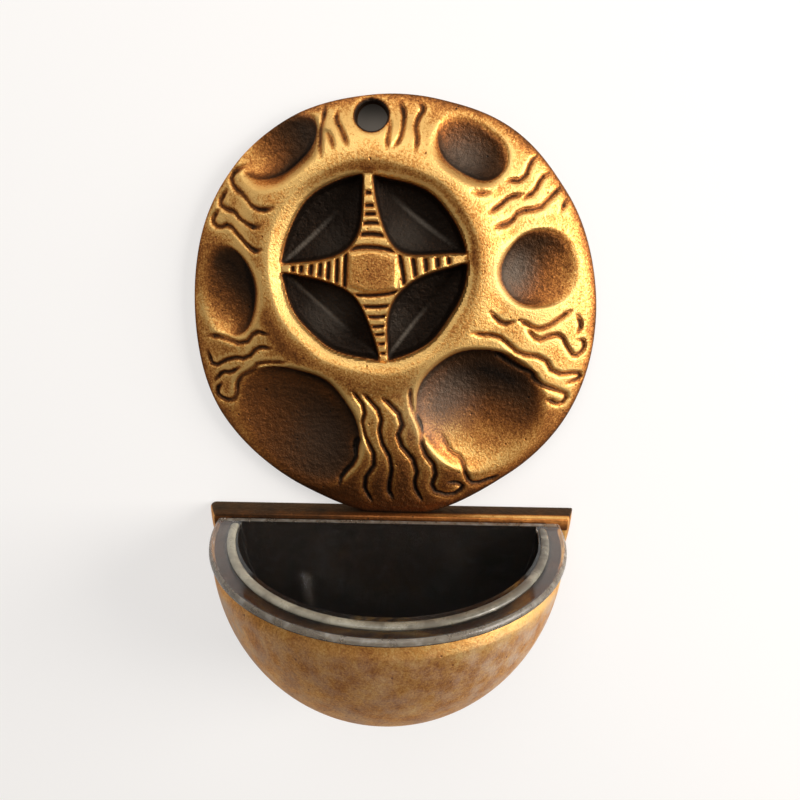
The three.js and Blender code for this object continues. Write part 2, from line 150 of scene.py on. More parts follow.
# Carved water lines, as the middle of each groove
WATER_LINES = (
    # on both sides of the hanging hole
    ((-17, 51), (-18.5, 45.5), (-18.5, 42.5), (-18, 39.5)),
    ((-18, 45.5), (-16, 44.5), (-15, 41.5)),
    ((-14, 50), (-14.5, 48), (-13, 45.5), (-11.5, 42)),
    ((1, 53), (2, 50.5), (1.5, 46.5), (0.5, 43.5), (-1, 42)),
    ((-1.5, 48.5), (-2.5, 44), (-2.5, 41.5)),
    ((5.5, 53), (6.5, 51.5), (5, 49), (4.5, 46.5), (5, 44), (4.5, 41.5)),
    # upper left
    ((-37.5, 37.5), (-41, 35), (-40, 32.5), (-36.5, 30.5), (-34.5, 28), (-32, 27), (-29.5, 27.5)),
    ((-42, 32), (-44.5, 29), (-42.5, 27.5), (-40, 27), (-38.5, 25), (-35, 23), (-33, 23)),
    ((-44.5, 27.5), (-46.5, 25), (-44.5, 23), (-42, 24), (-38.5, 20), (-35, 17.5), (-33, 18)),
    # upper right
    ((34.5, 41.5), (33, 40.5), (31.5, 36), (27.5, 36)),
    ((38, 37.5), (36, 36.5), (34.5, 33), (32, 31.5)),
    ((31.5, 32.5), (28.5, 32), (26, 30), (23, 28)),
    ((41.5, 34), (38.5, 31.5), (36, 29), (31, 28.5), (29, 26), (24.5, 24.5)),
    ((43.5, 31.5), (42, 29)),
    ((18.5, 32.5), (21, 32.5), (23, 33)),
    # right
    ((25, 4), (28.5, 1), (31.5, 1.5)),
    ((33, 2), (37, -1), (40, -0.5), (43.5, 1.5), (47, 4)),
    ((49, 3), (50.5, 0.5), (49.5, -1.5)),
    ((35, -0.5), (38, -4), (41, -2.5), (44.5, -2), (46.5, -5.5), (49, -8.5), (52, -6.5), (51.5, -3.5),
     (50, -3.5)),
    ((20.5, -1.5), (27, -2), (30, -4.5), (33, -7), (40, -8), (43.5, -13.5), (51, -12.5), (52, -14),
     (48, -15.5)),
    ((27, -7), (34, -11), (38, -12.5), (38.5, -14.5), (41.5, -16.5), (45.5, -17.5), (49, -19),
     (47.5, -22), (43, -20)),
    # left
    ((-49, -4.5), (-45.5, -4.5), (-39.5, -6.5), (-36, -2.5), (-32, -3)),
    ((-50, -8.5), (-49, -13), (-43, -10), (-39, -10.5), (-36, -7), (-32, -7)),
    ((-48.5, -16.8), (-46, -14.2), (-43.5, -14.6), (-41, -13)),
    ((-46.6, -17.6), (-48.3, -19.5), (-48, -21.5), (-45, -22.5), (-42.5, -21.5), (-41.5, -16),
     (-37, -13), (-36, -11.5), (-28, -10.5)),
    # below the ring
    ((-8.6, -32), (-10.4, -34), (-9.2, -39), (-13.8, -44), (-14.5, -47)),
    ((-10, -18), (-6.5, -23), (-8.5, -28.5), (-4, -38), (-7.5, -46), (-5, -51.5)),
    ((-7, -18.5), (-2, -24.5), (-3.5, -30.5), (0.5, -39), (-0.5, -47), (1, -50.5)),
    ((-2, -19.5), (3.5, -25.5), (1.5, -31.5), (8, -40), (7, -46), (9.5, -51.5)),
    ((5, -17), (5.4, -22.5), (7.6, -26.5), (8.1, -28.5), (8.4, -35), (13, -40.5), (12, -48),
     (17.5, -50), (21.5, -47), (19.5, -45.5), (16.5, -45.5)),
    ((14, -31.5), (17, -36.5), (20, -37.5), (22, -44), (24.5, -46), (31, -43.5)),
)
LINE_WIDTH = 2.1
LINE_DEPTH = 0.95
LINE_TAPER = 2.5
LINE_END = 0.35
LINE_END_WIDTH = 0.6
LINE_ROUNDS = 1

# Where a line runs into a hollow, only a share of its depth is left, and it returns at the hollow's lip
LINE_IN_HOLLOW = 0.4
HOLLOW_LIP = 0.8
LINE_RETURN = 3

# Waver of everything that was modelled by hand: a slow wave and a quicker, slanted one each way
WAVER = 0.2
WAVER_LENGTH = 4.2
WAVER_SLANT = 0.6
WAVER_QUICKER = 1.6
WAVER_STARTS = ((0.4, 2.1), (1.3, 0.7))

# Bowl: a quarter of a hollow ball in front of a half-round plate
PLATE_X = 0.65
PLATE_RADIUS = 55.1
PLATE_DRAFT = 3.6
PLATE_THICKNESS = 7.6
PLATE_CORNER = 2
PLATE_ABOVE_LINER = 1.35
PLATE_EDGE_ROUND = 0.45
PLATE_EDGE_STEPS = 3
PLATE_CORNER_SHARE = 0.98
BOWL_FILLET = 0.8

# Liner: a clear quarter ball with a back wall, a flat rim and a bead inside the rim
LINER_INSIDE_RADIUS = 42.4
LINER_OUTSIDE_RADIUS = 44
LINER_BACK_GAP = 0.3
LINER_WALL = 1.6
LINER_SEAT_GAP = 0.2
LINER_ROUND = 1.2
LINER_UNDER_ROUND = 0.3
LINER_CORNER = 0.8
LINER_CORNER_SHARP = 60
RIM_RADIUS = 49.8
RIM_THICKNESS = 1.7
BEAD_WIDTH = 2.2
BEAD_RISE = 0.9
BEAD_SINK = 0.5
BEAD_END_ANGLE = 4
BEAD_END_TURNS = (0, 30, 60, 80)
BOWL_INSIDE_RADIUS = 45.2
BOWL_RADIUS = 49.2
BOWL_DEPTH = 51.2
LIP_HEIGHT = 3.4
LIP_LEAN = 1
LIP_PARTS = (1, 0.75, 0.5, 0.25)

# Strap across the two backs, and its screws
STRAP_WIDTH = 18
STRAP_THICKNESS = 2
STRAP_CORNER = 2
STRAP_SINK = 0.3
STRAP_FIT = 0.3
STRAP_END = 7
STRAP_EDGE_ROUND = 0.25
STRAP_EDGE_STEPS = 2
SCREW_ROW_ABOVE = 11
SCREW_ROW_BELOW = 15
SCREW_SPACING = 10
SCREW_LENGTH = 4.6
SCREW_RADIUS = 1.5
SCREW_HEAD_RADIUS = 2.75
SCREW_HEAD_DEPTH = 1.6
SCREW_HEAD_EDGE = 0.2
SCREW_TIP = 0.5
SCREW_SLOT_WIDTH = 0.8
SCREW_SLOT_DEPTH = 0.8
SCREW_FIT = 0.2

# Heights that follow
PLATE_TOP = -DISC_RADIUS - FOOT_REACH
FOOT_BOTTOM = PLATE_TOP + SEAM
LINER_TOP = PLATE_TOP - PLATE_ABOVE_LINER
BOWL_RIM = LINER_TOP - RIM_THICKNESS - LINER_SEAT_GAP
PLATE_FRONT = -PLATE_THICKNESS
LINER_BACK = PLATE_FRONT - LINER_BACK_GAP
STRAP_TOP = PLATE_TOP + SCREW_ROW_ABOVE + STRAP_END
STRAP_BOTTOM = PLATE_TOP - SCREW_ROW_BELOW - STRAP_END
CHANNEL_DEPTH = STRAP_SINK + STRAP_THICKNESS + STRAP_FIT
PAST = 2
FINE = 0.002
CLOSE = 0.01

# Steps of the meshes
RELIEF_STEPS = 305
RELIEF_CLOSER = 0.3
RELIEF_SMOOTH = 40
BALL_STEPS = 48
TURN_STEPS = 162
SCREW_STEPS = 48
CORNER_STEPS = 5
BEAD_STEPS = 24
BEAD_SMOOTH = 60

# Patina: how a point's depth below its surroundings darkens it, with painted shade added on sides turned
# from the lamps
MAP_STEP = 0.4
MAP_REACH = 60
NEAR_SPREAD = 1.1
FAR_SPREAD = 7
PATINA_LAND = 0.2
PATINA_NEAR = 0.8
PATINA_GROOVE = 0.5
PATINA_FAR = 0.03
# Towards the lower left and the bottom: partly patina, partly painted shade of the sides turned from the
# lamps
LOWER_LEFT_PATINA_AND_SHADE = 0.26
BOTTOM_PATINA_AND_SHADE = 0.2
BOTTOM_START = 20
BOTTOM_REACH = 26
PATINA_POCKET = 0.98
RIDGE_POLISH = 0.5
RIDGE_SHARPNESS = 2.5
PATINA_RIB = 0.8
PATINA_BOSS = 0.22
BOSS_FADE = 4
PATINA_STAR = 0.08
# Brown on the ring's inner slope: partly patina, partly painted shade
RING_SLOPE_PATINA_AND_SHADE = 0.31
# Painted shade on the disc's rim on the right
RIM_PAINTED_SHADE = 0.3
EDGE_START = 0.945
# Brown outside the ring on the left: partly patina, partly painted shade
RING_OUTSIDE_PATINA_AND_SHADE = 0.28
PATINA_BACK = 0.62
LOWER_LEFT = (-0.5, -0.85)
SIDE_RISE = 0.8
RING_BROWN_ANGLE = 50
RING_BROWN_START = 0.5
RING_BROWN_PLACE = 1.4
RING_BROWN_WIDTH = 4
RING_OUTSIDE_ANGLE = 10
RING_OUTSIDE_PLACE = 4
RING_OUTSIDE_WIDTH = 4
EDGE_ANGLE = 15
EDGE_ANGLE_START = 0.4
HOLLOW_PATINA_AND_SHADE_REACH = 1.15
HOLLOW_LIGHTENING = 0.75
POCKET_DARKENING = 1.6
PATINA_INSIDE = 0.84
PATINA_BOWL = 0.23
PATINA_BAR = 0.62
PATINA_RIM = 0.6


# Drawing and modelling

def to_frame(points):
    """Points of the drawing as metres in the shared frame."""
    return (np.asarray(points, float) - (HOLE_X, 0, HOLE_Z)) * MM


def deselect():
    """Leaves nothing selected, in object mode."""
    if bpy.context.mode != "OBJECT":
        bpy.ops.object.mode_set(mode="OBJECT")
    bpy.ops.object.select_all(action="DESELECT")


def pick(piece):
    """Leaves one piece selected and active, in object mode."""
    deselect()
    piece.select_set(True)
    bpy.context.view_layer.objects.active = piece


def edit(piece):
    """Opens a piece for modelling, all of it selected."""
    pick(piece)
    bpy.ops.object.mode_set(mode="EDIT")
    bpy.ops.mesh.select_mode(type="VERT")
    bpy.ops.mesh.select_all(action="SELECT")


def added(name):
    """Names the primitive just added, with its place in its mesh."""
    piece = bpy.context.object
    piece.name = name
    piece.data.name = name
    bpy.ops.object.transform_apply(location=True, rotation=True, scale=True)
    return piece


def raw_corners(piece):
    """The places of a mesh's vertices, as Blender holds them."""
    flat = np.empty(len(piece.data.vertices) * 3)
    piece.data.vertices.foreach_get("co", flat)
    return flat.reshape(-1, 3)


def corners(piece):
    """The places of a mesh's vertices in the drawing."""
    return raw_corners(piece) / MM + (HOLE_X, 0, HOLE_Z)


def move_corners(piece, places):
    """Puts a mesh's vertices at places of the drawing."""
    piece.data.vertices.foreach_set("co", to_frame(places).ravel())
    piece.data.update()


def tidy_mesh():
    """Merges what coincides and turns all faces outwards, in edit mode."""
    bpy.ops.mesh.select_all(action="SELECT")
    bpy.ops.mesh.remove_doubles(threshold=FINE * MM)
    bpy.ops.mesh.normals_make_consistent(inside=False)


def drawn_line(name, points):
    """A line of edges through points of the drawing."""
    deselect()
    spots = [Vector(spot) for spot in to_frame(points)]
    bpy.ops.mesh.primitive_plane_add(size=MM, location=spots[0])
    piece = added(name)
    edit(piece)
    bpy.ops.mesh.merge(type="CENTER")
    for here, there in zip(spots, spots[1:]):
        bpy.ops.mesh.extrude_region_move(TRANSFORM_OT_translate={"value": there - here})
    return piece


def turned(name, points, centre, axis, steps):
    """A closed line of profile points, turned round an axis into a solid."""
    piece = drawn_line(name, points)
    bpy.ops.mesh.select_all(action="SELECT")
    middle = Vector(to_frame(centre))
    bpy.ops.mesh.spin(steps=steps, angle=math.tau, center=middle, axis=axis)
    tidy_mesh()
    deselect()
    return piece


def cut_off(piece, point, normal):
    """Takes away what lies on the normal's side of a plane and closes the cut."""
    edit(piece)
    bpy.ops.mesh.bisect(
        plane_co=Vector(to_frame(point)), plane_no=normal, threshold=FINE * MM,
        use_fill=True, clear_outer=True,
    )
    tidy_mesh()
    deselect()


def part(piece, place, normal):
    """Divides the faces of a piece along a plane."""
    edit(piece)
    bpy.ops.mesh.bisect(plane_co=to_frame(place), plane_no=normal, threshold=FINE * MM)
    tidy_mesh()
    deselect()


def round_edges(piece, width, steps, sharpness=35):
    """Rounds the edges where faces meet at more than an angle."""
    edit(piece)
    bpy.ops.mesh.select_mode(type="EDGE")
    bpy.ops.mesh.select_all(action="DESELECT")
    bpy.ops.mesh.edges_select_sharp(sharpness=math.radians(sharpness))
    bpy.ops.mesh.bevel(offset=width * MM, segments=steps, affect="EDGES")
    tidy_mesh()
    deselect()


def block(name, low, high):
    """A box between two corners of the drawing."""
    low, high = to_frame(low), to_frame(high)
    deselect()
    bpy.ops.mesh.primitive_cube_add(size=1, location=(low + high) / 2, scale=high - low)
    return added(name)


def joined(piece, tool, operation):
    """Adds a tool to a piece, or cuts it out of it."""
    pick(piece)
    modifier = piece.modifiers.new("tool", "BOOLEAN")
    modifier.operation = operation
    modifier.solver = "MANIFOLD"
    modifier.object = tool
    bpy.ops.object.modifier_apply(modifier=modifier.name)
    bpy.data.objects.remove(tool, do_unlink=True)


def smooth(piece, degrees=32):
    """Shades a piece smoothly, except at edges sharper than an angle."""
    pick(piece)
    bpy.ops.object.shade_smooth_by_angle(angle=math.radians(degrees))


def store(piece, name, values):
    """Keeps one number per vertex under a name that the materials read."""
    layer = piece.data.attributes.new(name, "FLOAT", "POINT")
    layer.data.foreach_set("value", np.asarray(values, np.float32))


# Relief of the medallion, as heights above the wall

def soft_low(a, b, blend):
    """The lower of two heights, blended where they meet."""
    share = np.clip(0.5 + (b - a) / (2 * blend), 0, 1)
    return b + (a - b) * share - blend * share * (1 - share)


def soft_high(a, b, blend):
    """The higher of two heights, blended where they meet."""
    return -soft_low(-a, -b, blend)


def bump(distance, reach):
    """One in the middle, falling smoothly to nothing at a reach."""
    return np.clip(1 - (distance / reach) ** 2, 0, 1) ** 2


def swell(angle, middle, spread):
    """One in a direction from the middle of the disc, nothing beyond a spread on both sides."""
    return bump(np.mod(np.degrees(angle) - middle + 180, 360) - 180, spread)


def outline_radius(angle):
    """Distance of the medallion's outline from the middle of the disc, flat at the foot."""
    lumps = (rise * swell(angle, middle, spread) for middle, rise, spread in OUTLINE_LUMPS)
    disc = DISC_RADIUS + sum(lumps)
    downwards = np.maximum(np.cos(angle + math.pi / 2), 0.5)
    return np.minimum(disc, -FOOT_BOTTOM / downwards)


def dome_height(x, z):
    """The plain dome, with its edge thickened at the foot."""
    angle = np.arctan2(z, x)
    height = crown_height(np.minimum(np.hypot(x, z) / outline_radius(angle), 1))
    to_crown = (DISC_EDGE + DISC_CROWN - height) / DISC_CROWN
    return height + FOOT_EDGE * swell(angle, FOOT_ANGLE, FOOT_EDGE_SPREAD) * to_crown


def crown_height(share):
    """Height of the round dome at a share of the way from its middle to its edge."""
    return DISC_EDGE + DISC_CROWN * (1 - share ** CROWN_FLATNESS) ** CROWN_SHOULDER


def ring_distance(x, z):
    """Distance from the middle of the ring, whose opening is a little flattened at the top."""
    dx, dz = x - RING_X, z - RING_Z
    return np.hypot(dx, dz) + RING_FLAT * swell(np.arctan2(dz, dx), RING_FLAT_ANGLE, RING_FLAT_SPREAD)


def ring_height(distance):
    """The ring: a steep slope inside its crest and a long one outside."""
    tip = STAR_HEIGHT - STAR_TIP_DROP
    inner = np.clip((RING_CREST - distance) / (RING_CREST - RING_INSIDE), 0, None)
    outer = np.clip((distance - RING_CREST) / (RING_SLOPE_RADIUS - RING_CREST), 0, None)
    return RING_HEIGHT - (RING_HEIGHT - tip) * inner ** RING_INNER_POWER - RING_SLOPE_FALL * outer ** 2


def hollow_reach(x, z, angle, inset, along, across, turn, depth, direction=0):
    """Share of the way from the middle of a thumb hollow to its rim, and how far in a direction."""
    distance = DISC_RADIUS - inset
    out, lean, way = (math.radians(value) for value in (angle, turn, direction))
    dx, dz = x - distance * math.cos(out), z - distance * math.sin(out)
    u = (dx * math.cos(lean) + dz * math.sin(lean)) / along
    v = (dz * math.cos(lean) - dx * math.sin(lean)) / across
    towards = (dx * math.cos(way) + dz * math.sin(way)) / max(along, across)
    return np.hypot(u, v), towards


def hollow_height(x, z, hollow):
    """The floor of a thumb hollow: a flattened ball with its middle on the dome."""
    reach, _ = hollow_reach(x, z, **hollow)
    level = crown_height((DISC_RADIUS - hollow["inset"]) / DISC_RADIUS)
    floor = level - hollow["depth"] * np.sqrt(np.clip(1 - reach ** 2, 0, 1))
    return floor + np.clip(reach - 1, 0, None) * min(hollow["along"], hollow["across"]) * HOLLOW_RISE


def star_edge(x, z):
    """Distance from the star's edge, and how deep inside a pocket a point is."""
    dx, dz = x - STAR_X, z - STAR_Z
    waist = STAR_WAIST / math.sqrt(2) + STAR_TAPER
    to_star = np.full(dx.shape, -STAR_WAIST)
    for first, second in zip(STAR_ARMS, STAR_ARMS[1:] + (STAR_ARMS[0] + 360,)):
        one, other = math.radians(first), math.radians(second)
        turn = math.sin(other - one)
        a = (dx * math.sin(other) - dz * math.cos(other)) / turn
        b = (dz * math.cos(one) - dx * math.sin(one)) / turn
        a, b = a + STAR_TAPER, b + STAR_TAPER
        beyond = (a * b - waist ** 2) / np.hypot(a, b)
        to_star = np.where((a >= STAR_TAPER) & (b >= STAR_TAPER), beyond, to_star)
    to_ring = RING_INSIDE - ring_distance(x, z)
    return to_star, np.clip(soft_low(to_ring, to_star, POCKET_CORNER), 0, None)


def rib_grooves(x, z):
    """Depth of the grooves across the arms of the star, as a share."""
    dx, dz = x - STAR_X, z - STAR_Z
    share = np.zeros_like(dx)
    for arm, (places, width, bow) in zip(STAR_ARMS, RIB_GROOVES):
        along = dx * math.cos(math.radians(arm)) + dz * math.sin(math.radians(arm))
        side = np.abs(dz * math.cos(math.radians(arm)) - dx * math.sin(math.radians(arm)))
        for place in places:
            bowed = along - place + bow * side ** 2
            share = np.maximum(share, bump(bowed, width / 2) * (side < STAR_WAIST))
    to_star, _ = star_edge(x, z)
    return share * np.clip(RIB_EDGE - to_star / RIB_FADE, 0, 1)


def boss_share(x, z):
    """The barrel-shaped pad in the middle of the star, as a share of its rise."""
    dx, dz = np.abs(x - STAR_X), np.abs(z - STAR_Z - BOSS_ABOVE)
    bulge = BOSS_BULGE * bump(dx, BOSS_WIDTH / 2)
    edge = np.minimum(BOSS_WIDTH / 2 - dx, BOSS_HEIGHT / 2 + bulge - dz)
    to_star, _ = star_edge(x, z)
    return np.clip(edge * BOSS_SLOPE / BOSS_RISE, 0, 1) * np.clip(-to_star, 0, 1)


def star_height(x, z):
    """What lies inside the ring: the star with its grooves and boss, and the pockets between its arms."""
    top = STAR_HEIGHT - STAR_TIP_DROP * (ring_distance(x, z) / RING_INSIDE) ** 2
    _, inside = star_edge(x, z)
    wall_share = np.clip(inside / POCKET_WALL_RUN, 0, 1)
    wall = POCKET_WALL * np.sin(wall_share * math.pi / 2)
    carved = RIB_DEPTH * rib_grooves(x, z) + wall + POCKET_SLOPE * inside
    return top + BOSS_RISE * boss_share(x, z) - carved


def rounded_path(points):
    """A line with its corners cut, so that it flows like one carved by hand."""
    path = np.asarray(points, float)
    for _ in range(LINE_ROUNDS):
        before = path[:-1] * 0.75 + path[1:] * 0.25
        after = path[:-1] * 0.25 + path[1:] * 0.75
        middle = np.stack([before, after], 1).reshape(-1, 2)
        path = np.vstack([path[:1], middle[1:-1], path[-1:]])
    return path


def line_groove(x, z, points):
    """Depth of one carved water line, shallower towards its ends."""
    path = rounded_path(points)
    steps = np.diff(path, axis=0)
    lengths = np.hypot(*steps.T)
    starts = np.concatenate([[0], np.cumsum(lengths)])
    nearest = np.full(x.shape, np.inf)
    place = np.zeros_like(x)
    for (px, pz), (sx, sz), length, start in zip(path, steps, lengths, starts):
        share = np.clip(((x - px) * sx + (z - pz) * sz) / length ** 2, 0, 1)
        distance = np.hypot(x - px - share * sx, z - pz - share * sz)
        closer = distance < nearest
        place = np.where(closer, start + share * length, place)
        nearest = np.minimum(nearest, distance)
    to_end = np.minimum(place, starts[-1] - place)
    strength = np.clip(LINE_END + to_end / LINE_TAPER, 0, 1)
    width = LINE_END_WIDTH + (1 - LINE_END_WIDTH) * strength
    return LINE_DEPTH * strength * bump(nearest, LINE_WIDTH / 2 * width)


def water_lines(x, z):
    """Depth of all the carved water lines together."""
    depth = np.zeros_like(x)
    for points in WATER_LINES:
        low = np.min(points, axis=0) - LINE_WIDTH
        high = np.max(points, axis=0) + LINE_WIDTH
        near = (x > low[0]) & (x < high[0]) & (z > low[1]) & (z < high[1])
        if near.any():
            depth[near] = np.maximum(depth[near], line_groove(x[near], z[near], points))
    return depth


def wavered(x, z):
    """Points shifted a little to and fro, as on a model carved by hand."""
    ways = (z, x + WAVER_SLANT * z), (x, z - WAVER_SLANT * x)
    across, up = (
        np.sin(slow / WAVER_LENGTH + first) + np.sin(quick / WAVER_LENGTH * WAVER_QUICKER + second)
        for (slow, quick), (first, second) in zip(ways, WAVER_STARTS)
    )
    return x + WAVER * across, z + WAVER * up


def relief_height(x, z):
    """The whole carved front: dome, ring, star, hollows, water lines and the hole's rim."""
    land = dome_height(x, z)
    to_hole = np.hypot(x - HOLE_X, z - HOLE_Z) - HOLE_RADIUS
    x, z = wavered(x, z)
    distance = ring_distance(x, z)
    land = soft_high(land, ring_height(distance), RING_BLEND)
    lines = water_lines(x, z)
    for hollow in HOLLOWS:
        land = soft_low(land, hollow_height(x, z, hollow), HOLLOW_BLEND)
        reach, _ = hollow_reach(x, z, **hollow)
        left = LINE_IN_HOLLOW + (reach - HOLLOW_LIP) * LINE_RETURN
        lines = lines * np.clip(left, LINE_IN_HOLLOW, 1)
    land = land - lines
    land = land - HOLE_RIM_DROP * np.clip(1 - to_hole / HOLE_RIM_WIDTH, 0, 1) ** 2
    return np.where(distance < RING_INSIDE, star_height(x, z), land)


# Patina and painted shade of the medallion

def blurred(grid, spread):
    """A grid of heights averaged over a spread in millimetres."""
    reach = int(3 * spread / MAP_STEP)
    weights = np.exp(-0.5 * (np.arange(-reach, reach + 1) * MAP_STEP / spread) ** 2)
    weights /= weights.sum()
    for _ in range(2):
        padded = np.pad(grid, ((0, 0), (reach, reach)), mode="edge")
        grid = np.array([np.convolve(row, weights, mode="valid") for row in padded]).T
    return grid


def sampled(grid, x, z):
    """Values of a grid at points between its own."""
    u = np.clip((x + MAP_REACH) / MAP_STEP, 0, grid.shape[1] - 1.001)
    v = np.clip((z + MAP_REACH) / MAP_STEP, 0, grid.shape[0] - 1.001)
    i, j = u.astype(int), v.astype(int)
    s, t = u - i, v - j
    lower = grid[j, i] * (1 - s) + grid[j, i + 1] * s
    upper = grid[j + 1, i] * (1 - s) + grid[j + 1, i + 1] * s
    return lower * (1 - t) + upper * t


def hollow_patina_and_shade(x, z):
    """The hollows are dark on one side and lighter on the other: partly patina, partly painted shade and
    light.
    """
    dark = np.zeros_like(x)
    for hollow, (darkest, lightest, direction) in zip(HOLLOWS, HOLLOW_PATINA_AND_SHADE):
        reach, towards = hollow_reach(x, z, direction=direction, **hollow)
        inside = np.clip(HOLLOW_PATINA_AND_SHADE_REACH - reach, 0, 0.5) * 2
        side = np.clip(0.5 + towards * HOLLOW_LIGHTENING, 0, 1)
        dark = dark + inside * (darkest + (lightest - darkest) * side)
    return dark


def star_patina(x, z):
    """Black pockets, dark grooves between the ribs and a brown boss."""
    _, inside = star_edge(x, z)
    pocket = PATINA_POCKET * np.clip(inside / POCKET_WALL_RUN * POCKET_DARKENING, 0, 1)
    groove = PATINA_RIB * rib_grooves(x, z)
    return np.maximum(pocket, groove) + PATINA_BOSS * boss_share(x, z) ** BOSS_FADE


def facing(angle, direction, start, rise):
    """How far an angle lies towards a direction, from nothing to one."""
    return np.clip(start + rise * np.cos(angle - math.radians(direction)), 0, 1)


def ring_patina_and_shade(x, z):
    """The ring is brown inside its crest at the top and right, and outside it on the left: partly patina,
    partly painted shade on the slopes turned from the lamps.
    """
    distance, angle = ring_distance(x, z), np.arctan2(z - RING_Z, x - RING_X)
    upper_right = facing(angle, RING_BROWN_ANGLE, RING_BROWN_START, SIDE_RISE)
    left = facing(angle, RING_OUTSIDE_ANGLE, 0, -1)
    inner = bump(distance - RING_INSIDE - RING_BROWN_PLACE, RING_BROWN_WIDTH)
    outer = bump(distance - RING_CREST - RING_OUTSIDE_PLACE, RING_OUTSIDE_WIDTH)
    return RING_SLOPE_PATINA_AND_SHADE * upper_right * inner + RING_OUTSIDE_PATINA_AND_SHADE * left * outer


def rim_painted_shade(x, z):
    """On the right, the rim of the disc is browner than its face: painted shade."""
    angle = np.arctan2(z, x)
    share = np.hypot(x, z) / outline_radius(angle)
    right = facing(angle, EDGE_ANGLE, EDGE_ANGLE_START, SIDE_RISE)
    return RIM_PAINTED_SHADE * right * np.clip((share - EDGE_START) / (1 - EDGE_START), 0, 1)


def spots(x, z, places):
    """The sum of round, soft-edged spots: places, reach and share."""
    return sum(share * bump(np.hypot(x - px, z - pz), reach) for px, pz, reach, share in places)


def dust_and_sheen_map(x, z):
    """Painted sheen in the pockets, most along their valleys, and dust with painted sheen on the floors
    of the hollows.
    """
    to_star, inside = star_edge(x, z)
    to_ring = RING_INSIDE - ring_distance(x, z)
    valley = bump(to_ring - to_star, VALLEY_WIDTH) * spots(x, z, VALLEY_SHEEN)
    pocket = np.clip(inside / POCKET_SHEEN_EDGE, 0, 1) * (valley + spots(x, z, POCKET_SHEEN))
    return np.where(to_ring > 0, pocket, spots(x, z, FLOOR_DUST_AND_SHEEN))


def patina_and_shade_maps(x, z):
    """How dark the patina and the painted shade are, and how far the ridges are polished, at points of
    the front.
    """
    ticks = np.arange(-MAP_REACH, MAP_REACH + MAP_STEP, MAP_STEP)
    across, up = np.meshgrid(ticks, ticks)
    heights = relief_height(across, up)
    here = relief_height(x, z)
    near = sampled(blurred(heights, NEAR_SPREAD), x, z) - here
    far = sampled(blurred(heights, FAR_SPREAD), x, z) - here
    # Darker towards the lower left and the bottom: partly patina, partly painted shade
    lower_left = np.clip((LOWER_LEFT[0] * x + LOWER_LEFT[1] * z) / DISC_RADIUS, 0, 1)
    bottom = np.clip((-z - BOTTOM_START) / BOTTOM_REACH, 0, 1)
    land = PATINA_LAND + LOWER_LEFT_PATINA_AND_SHADE * lower_left + BOTTOM_PATINA_AND_SHADE * bottom
    land = land + np.minimum(PATINA_NEAR * near, PATINA_GROOVE) + PATINA_FAR * far
    to_hole = np.hypot(x - HOLE_X, z - HOLE_Z) - HOLE_RADIUS
    land = land + HOLE_RIM_PATINA * bump(to_hole, HOLE_RIM_REACH) + rim_painted_shade(x, z)
    x, z = wavered(x, z)
    land = land + hollow_patina_and_shade(x, z) + ring_patina_and_shade(x, z)
    to_star, _ = star_edge(x, z)
    to_ring = RING_INSIDE - ring_distance(x, z)
    by_ring = np.clip(to_star / np.maximum(to_star + to_ring, FINE), 0, 1)
    star = PATINA_STAR + (land - PATINA_STAR) * by_ring + star_patina(x, z)
    dark = np.where(to_ring > 0, star, land)
    return np.clip(dark, 0, 1), np.clip(-near * RIDGE_SHARPNESS, 0, 1) * RIDGE_POLISH


# Pieces

def screw_places():
    """Two screws in the medallion, then two in the bowl's plate."""
    rows = PLATE_TOP + SCREW_ROW_ABOVE, PLATE_TOP - SCREW_ROW_BELOW
    return [(side * SCREW_SPACING / 2, row) for row in rows for side in (-1, 1)]


def screw_solid(name, place, clearance, mouth):
    """A countersunk screw with its head at the back of the strap, grown by a clearance."""
    x, z = place
    shank, head = SCREW_RADIUS + clearance, SCREW_HEAD_RADIUS + clearance
    tip = -STRAP_SINK - SCREW_LENGTH - clearance
    profile = (
        (0, tip), (shank - SCREW_TIP, tip), (shank, tip + SCREW_TIP),
        (shank, -STRAP_SINK - SCREW_HEAD_DEPTH), (head, -STRAP_SINK - SCREW_HEAD_EDGE),
        (head, mouth), (0, mouth),
    )
    points = [(x + radius, y, z) for radius, y in profile]
    return turned(name, points, (x, 0, z), (0, 1, 0), SCREW_STEPS)


def drilled(piece, places):
    """Cuts the screws' clearance holes into a piece."""
    for place in places:
        joined(piece, screw_solid("drill", place, SCREW_FIT, PAST), "DIFFERENCE")


def strap_channel():
    """The room for the strap in the two backs."""
    half = STRAP_WIDTH / 2 + STRAP_FIT
    low = (-half, -CHANNEL_DEPTH, STRAP_BOTTOM - STRAP_FIT)
    return block("channel", low, (half, PAST, STRAP_TOP + STRAP_FIT))


def bore(name, radius, x, z, depth):
    """A round cutter along Y, from a depth in front of the wall to behind it."""
    deselect()
    bpy.ops.mesh.primitive_cylinder_add(
        vertices=TURN_STEPS, radius=radius * MM, depth=(depth + PAST) * MM,
        location=to_frame((x, (PAST - depth) / 2, z)), rotation=(math.pi / 2, 0, 0),
    )
    return added(name)


def closer(places, middle):
    """Grid places from -1 to 1, drawn together round the middle of the star."""
    shift = math.pi * middle / DISC_RADIUS
    wave = np.sin(math.pi * places - shift) - math.sin(shift)
    return np.clip(places - RELIEF_CLOSER * wave / math.pi, -1, 1)


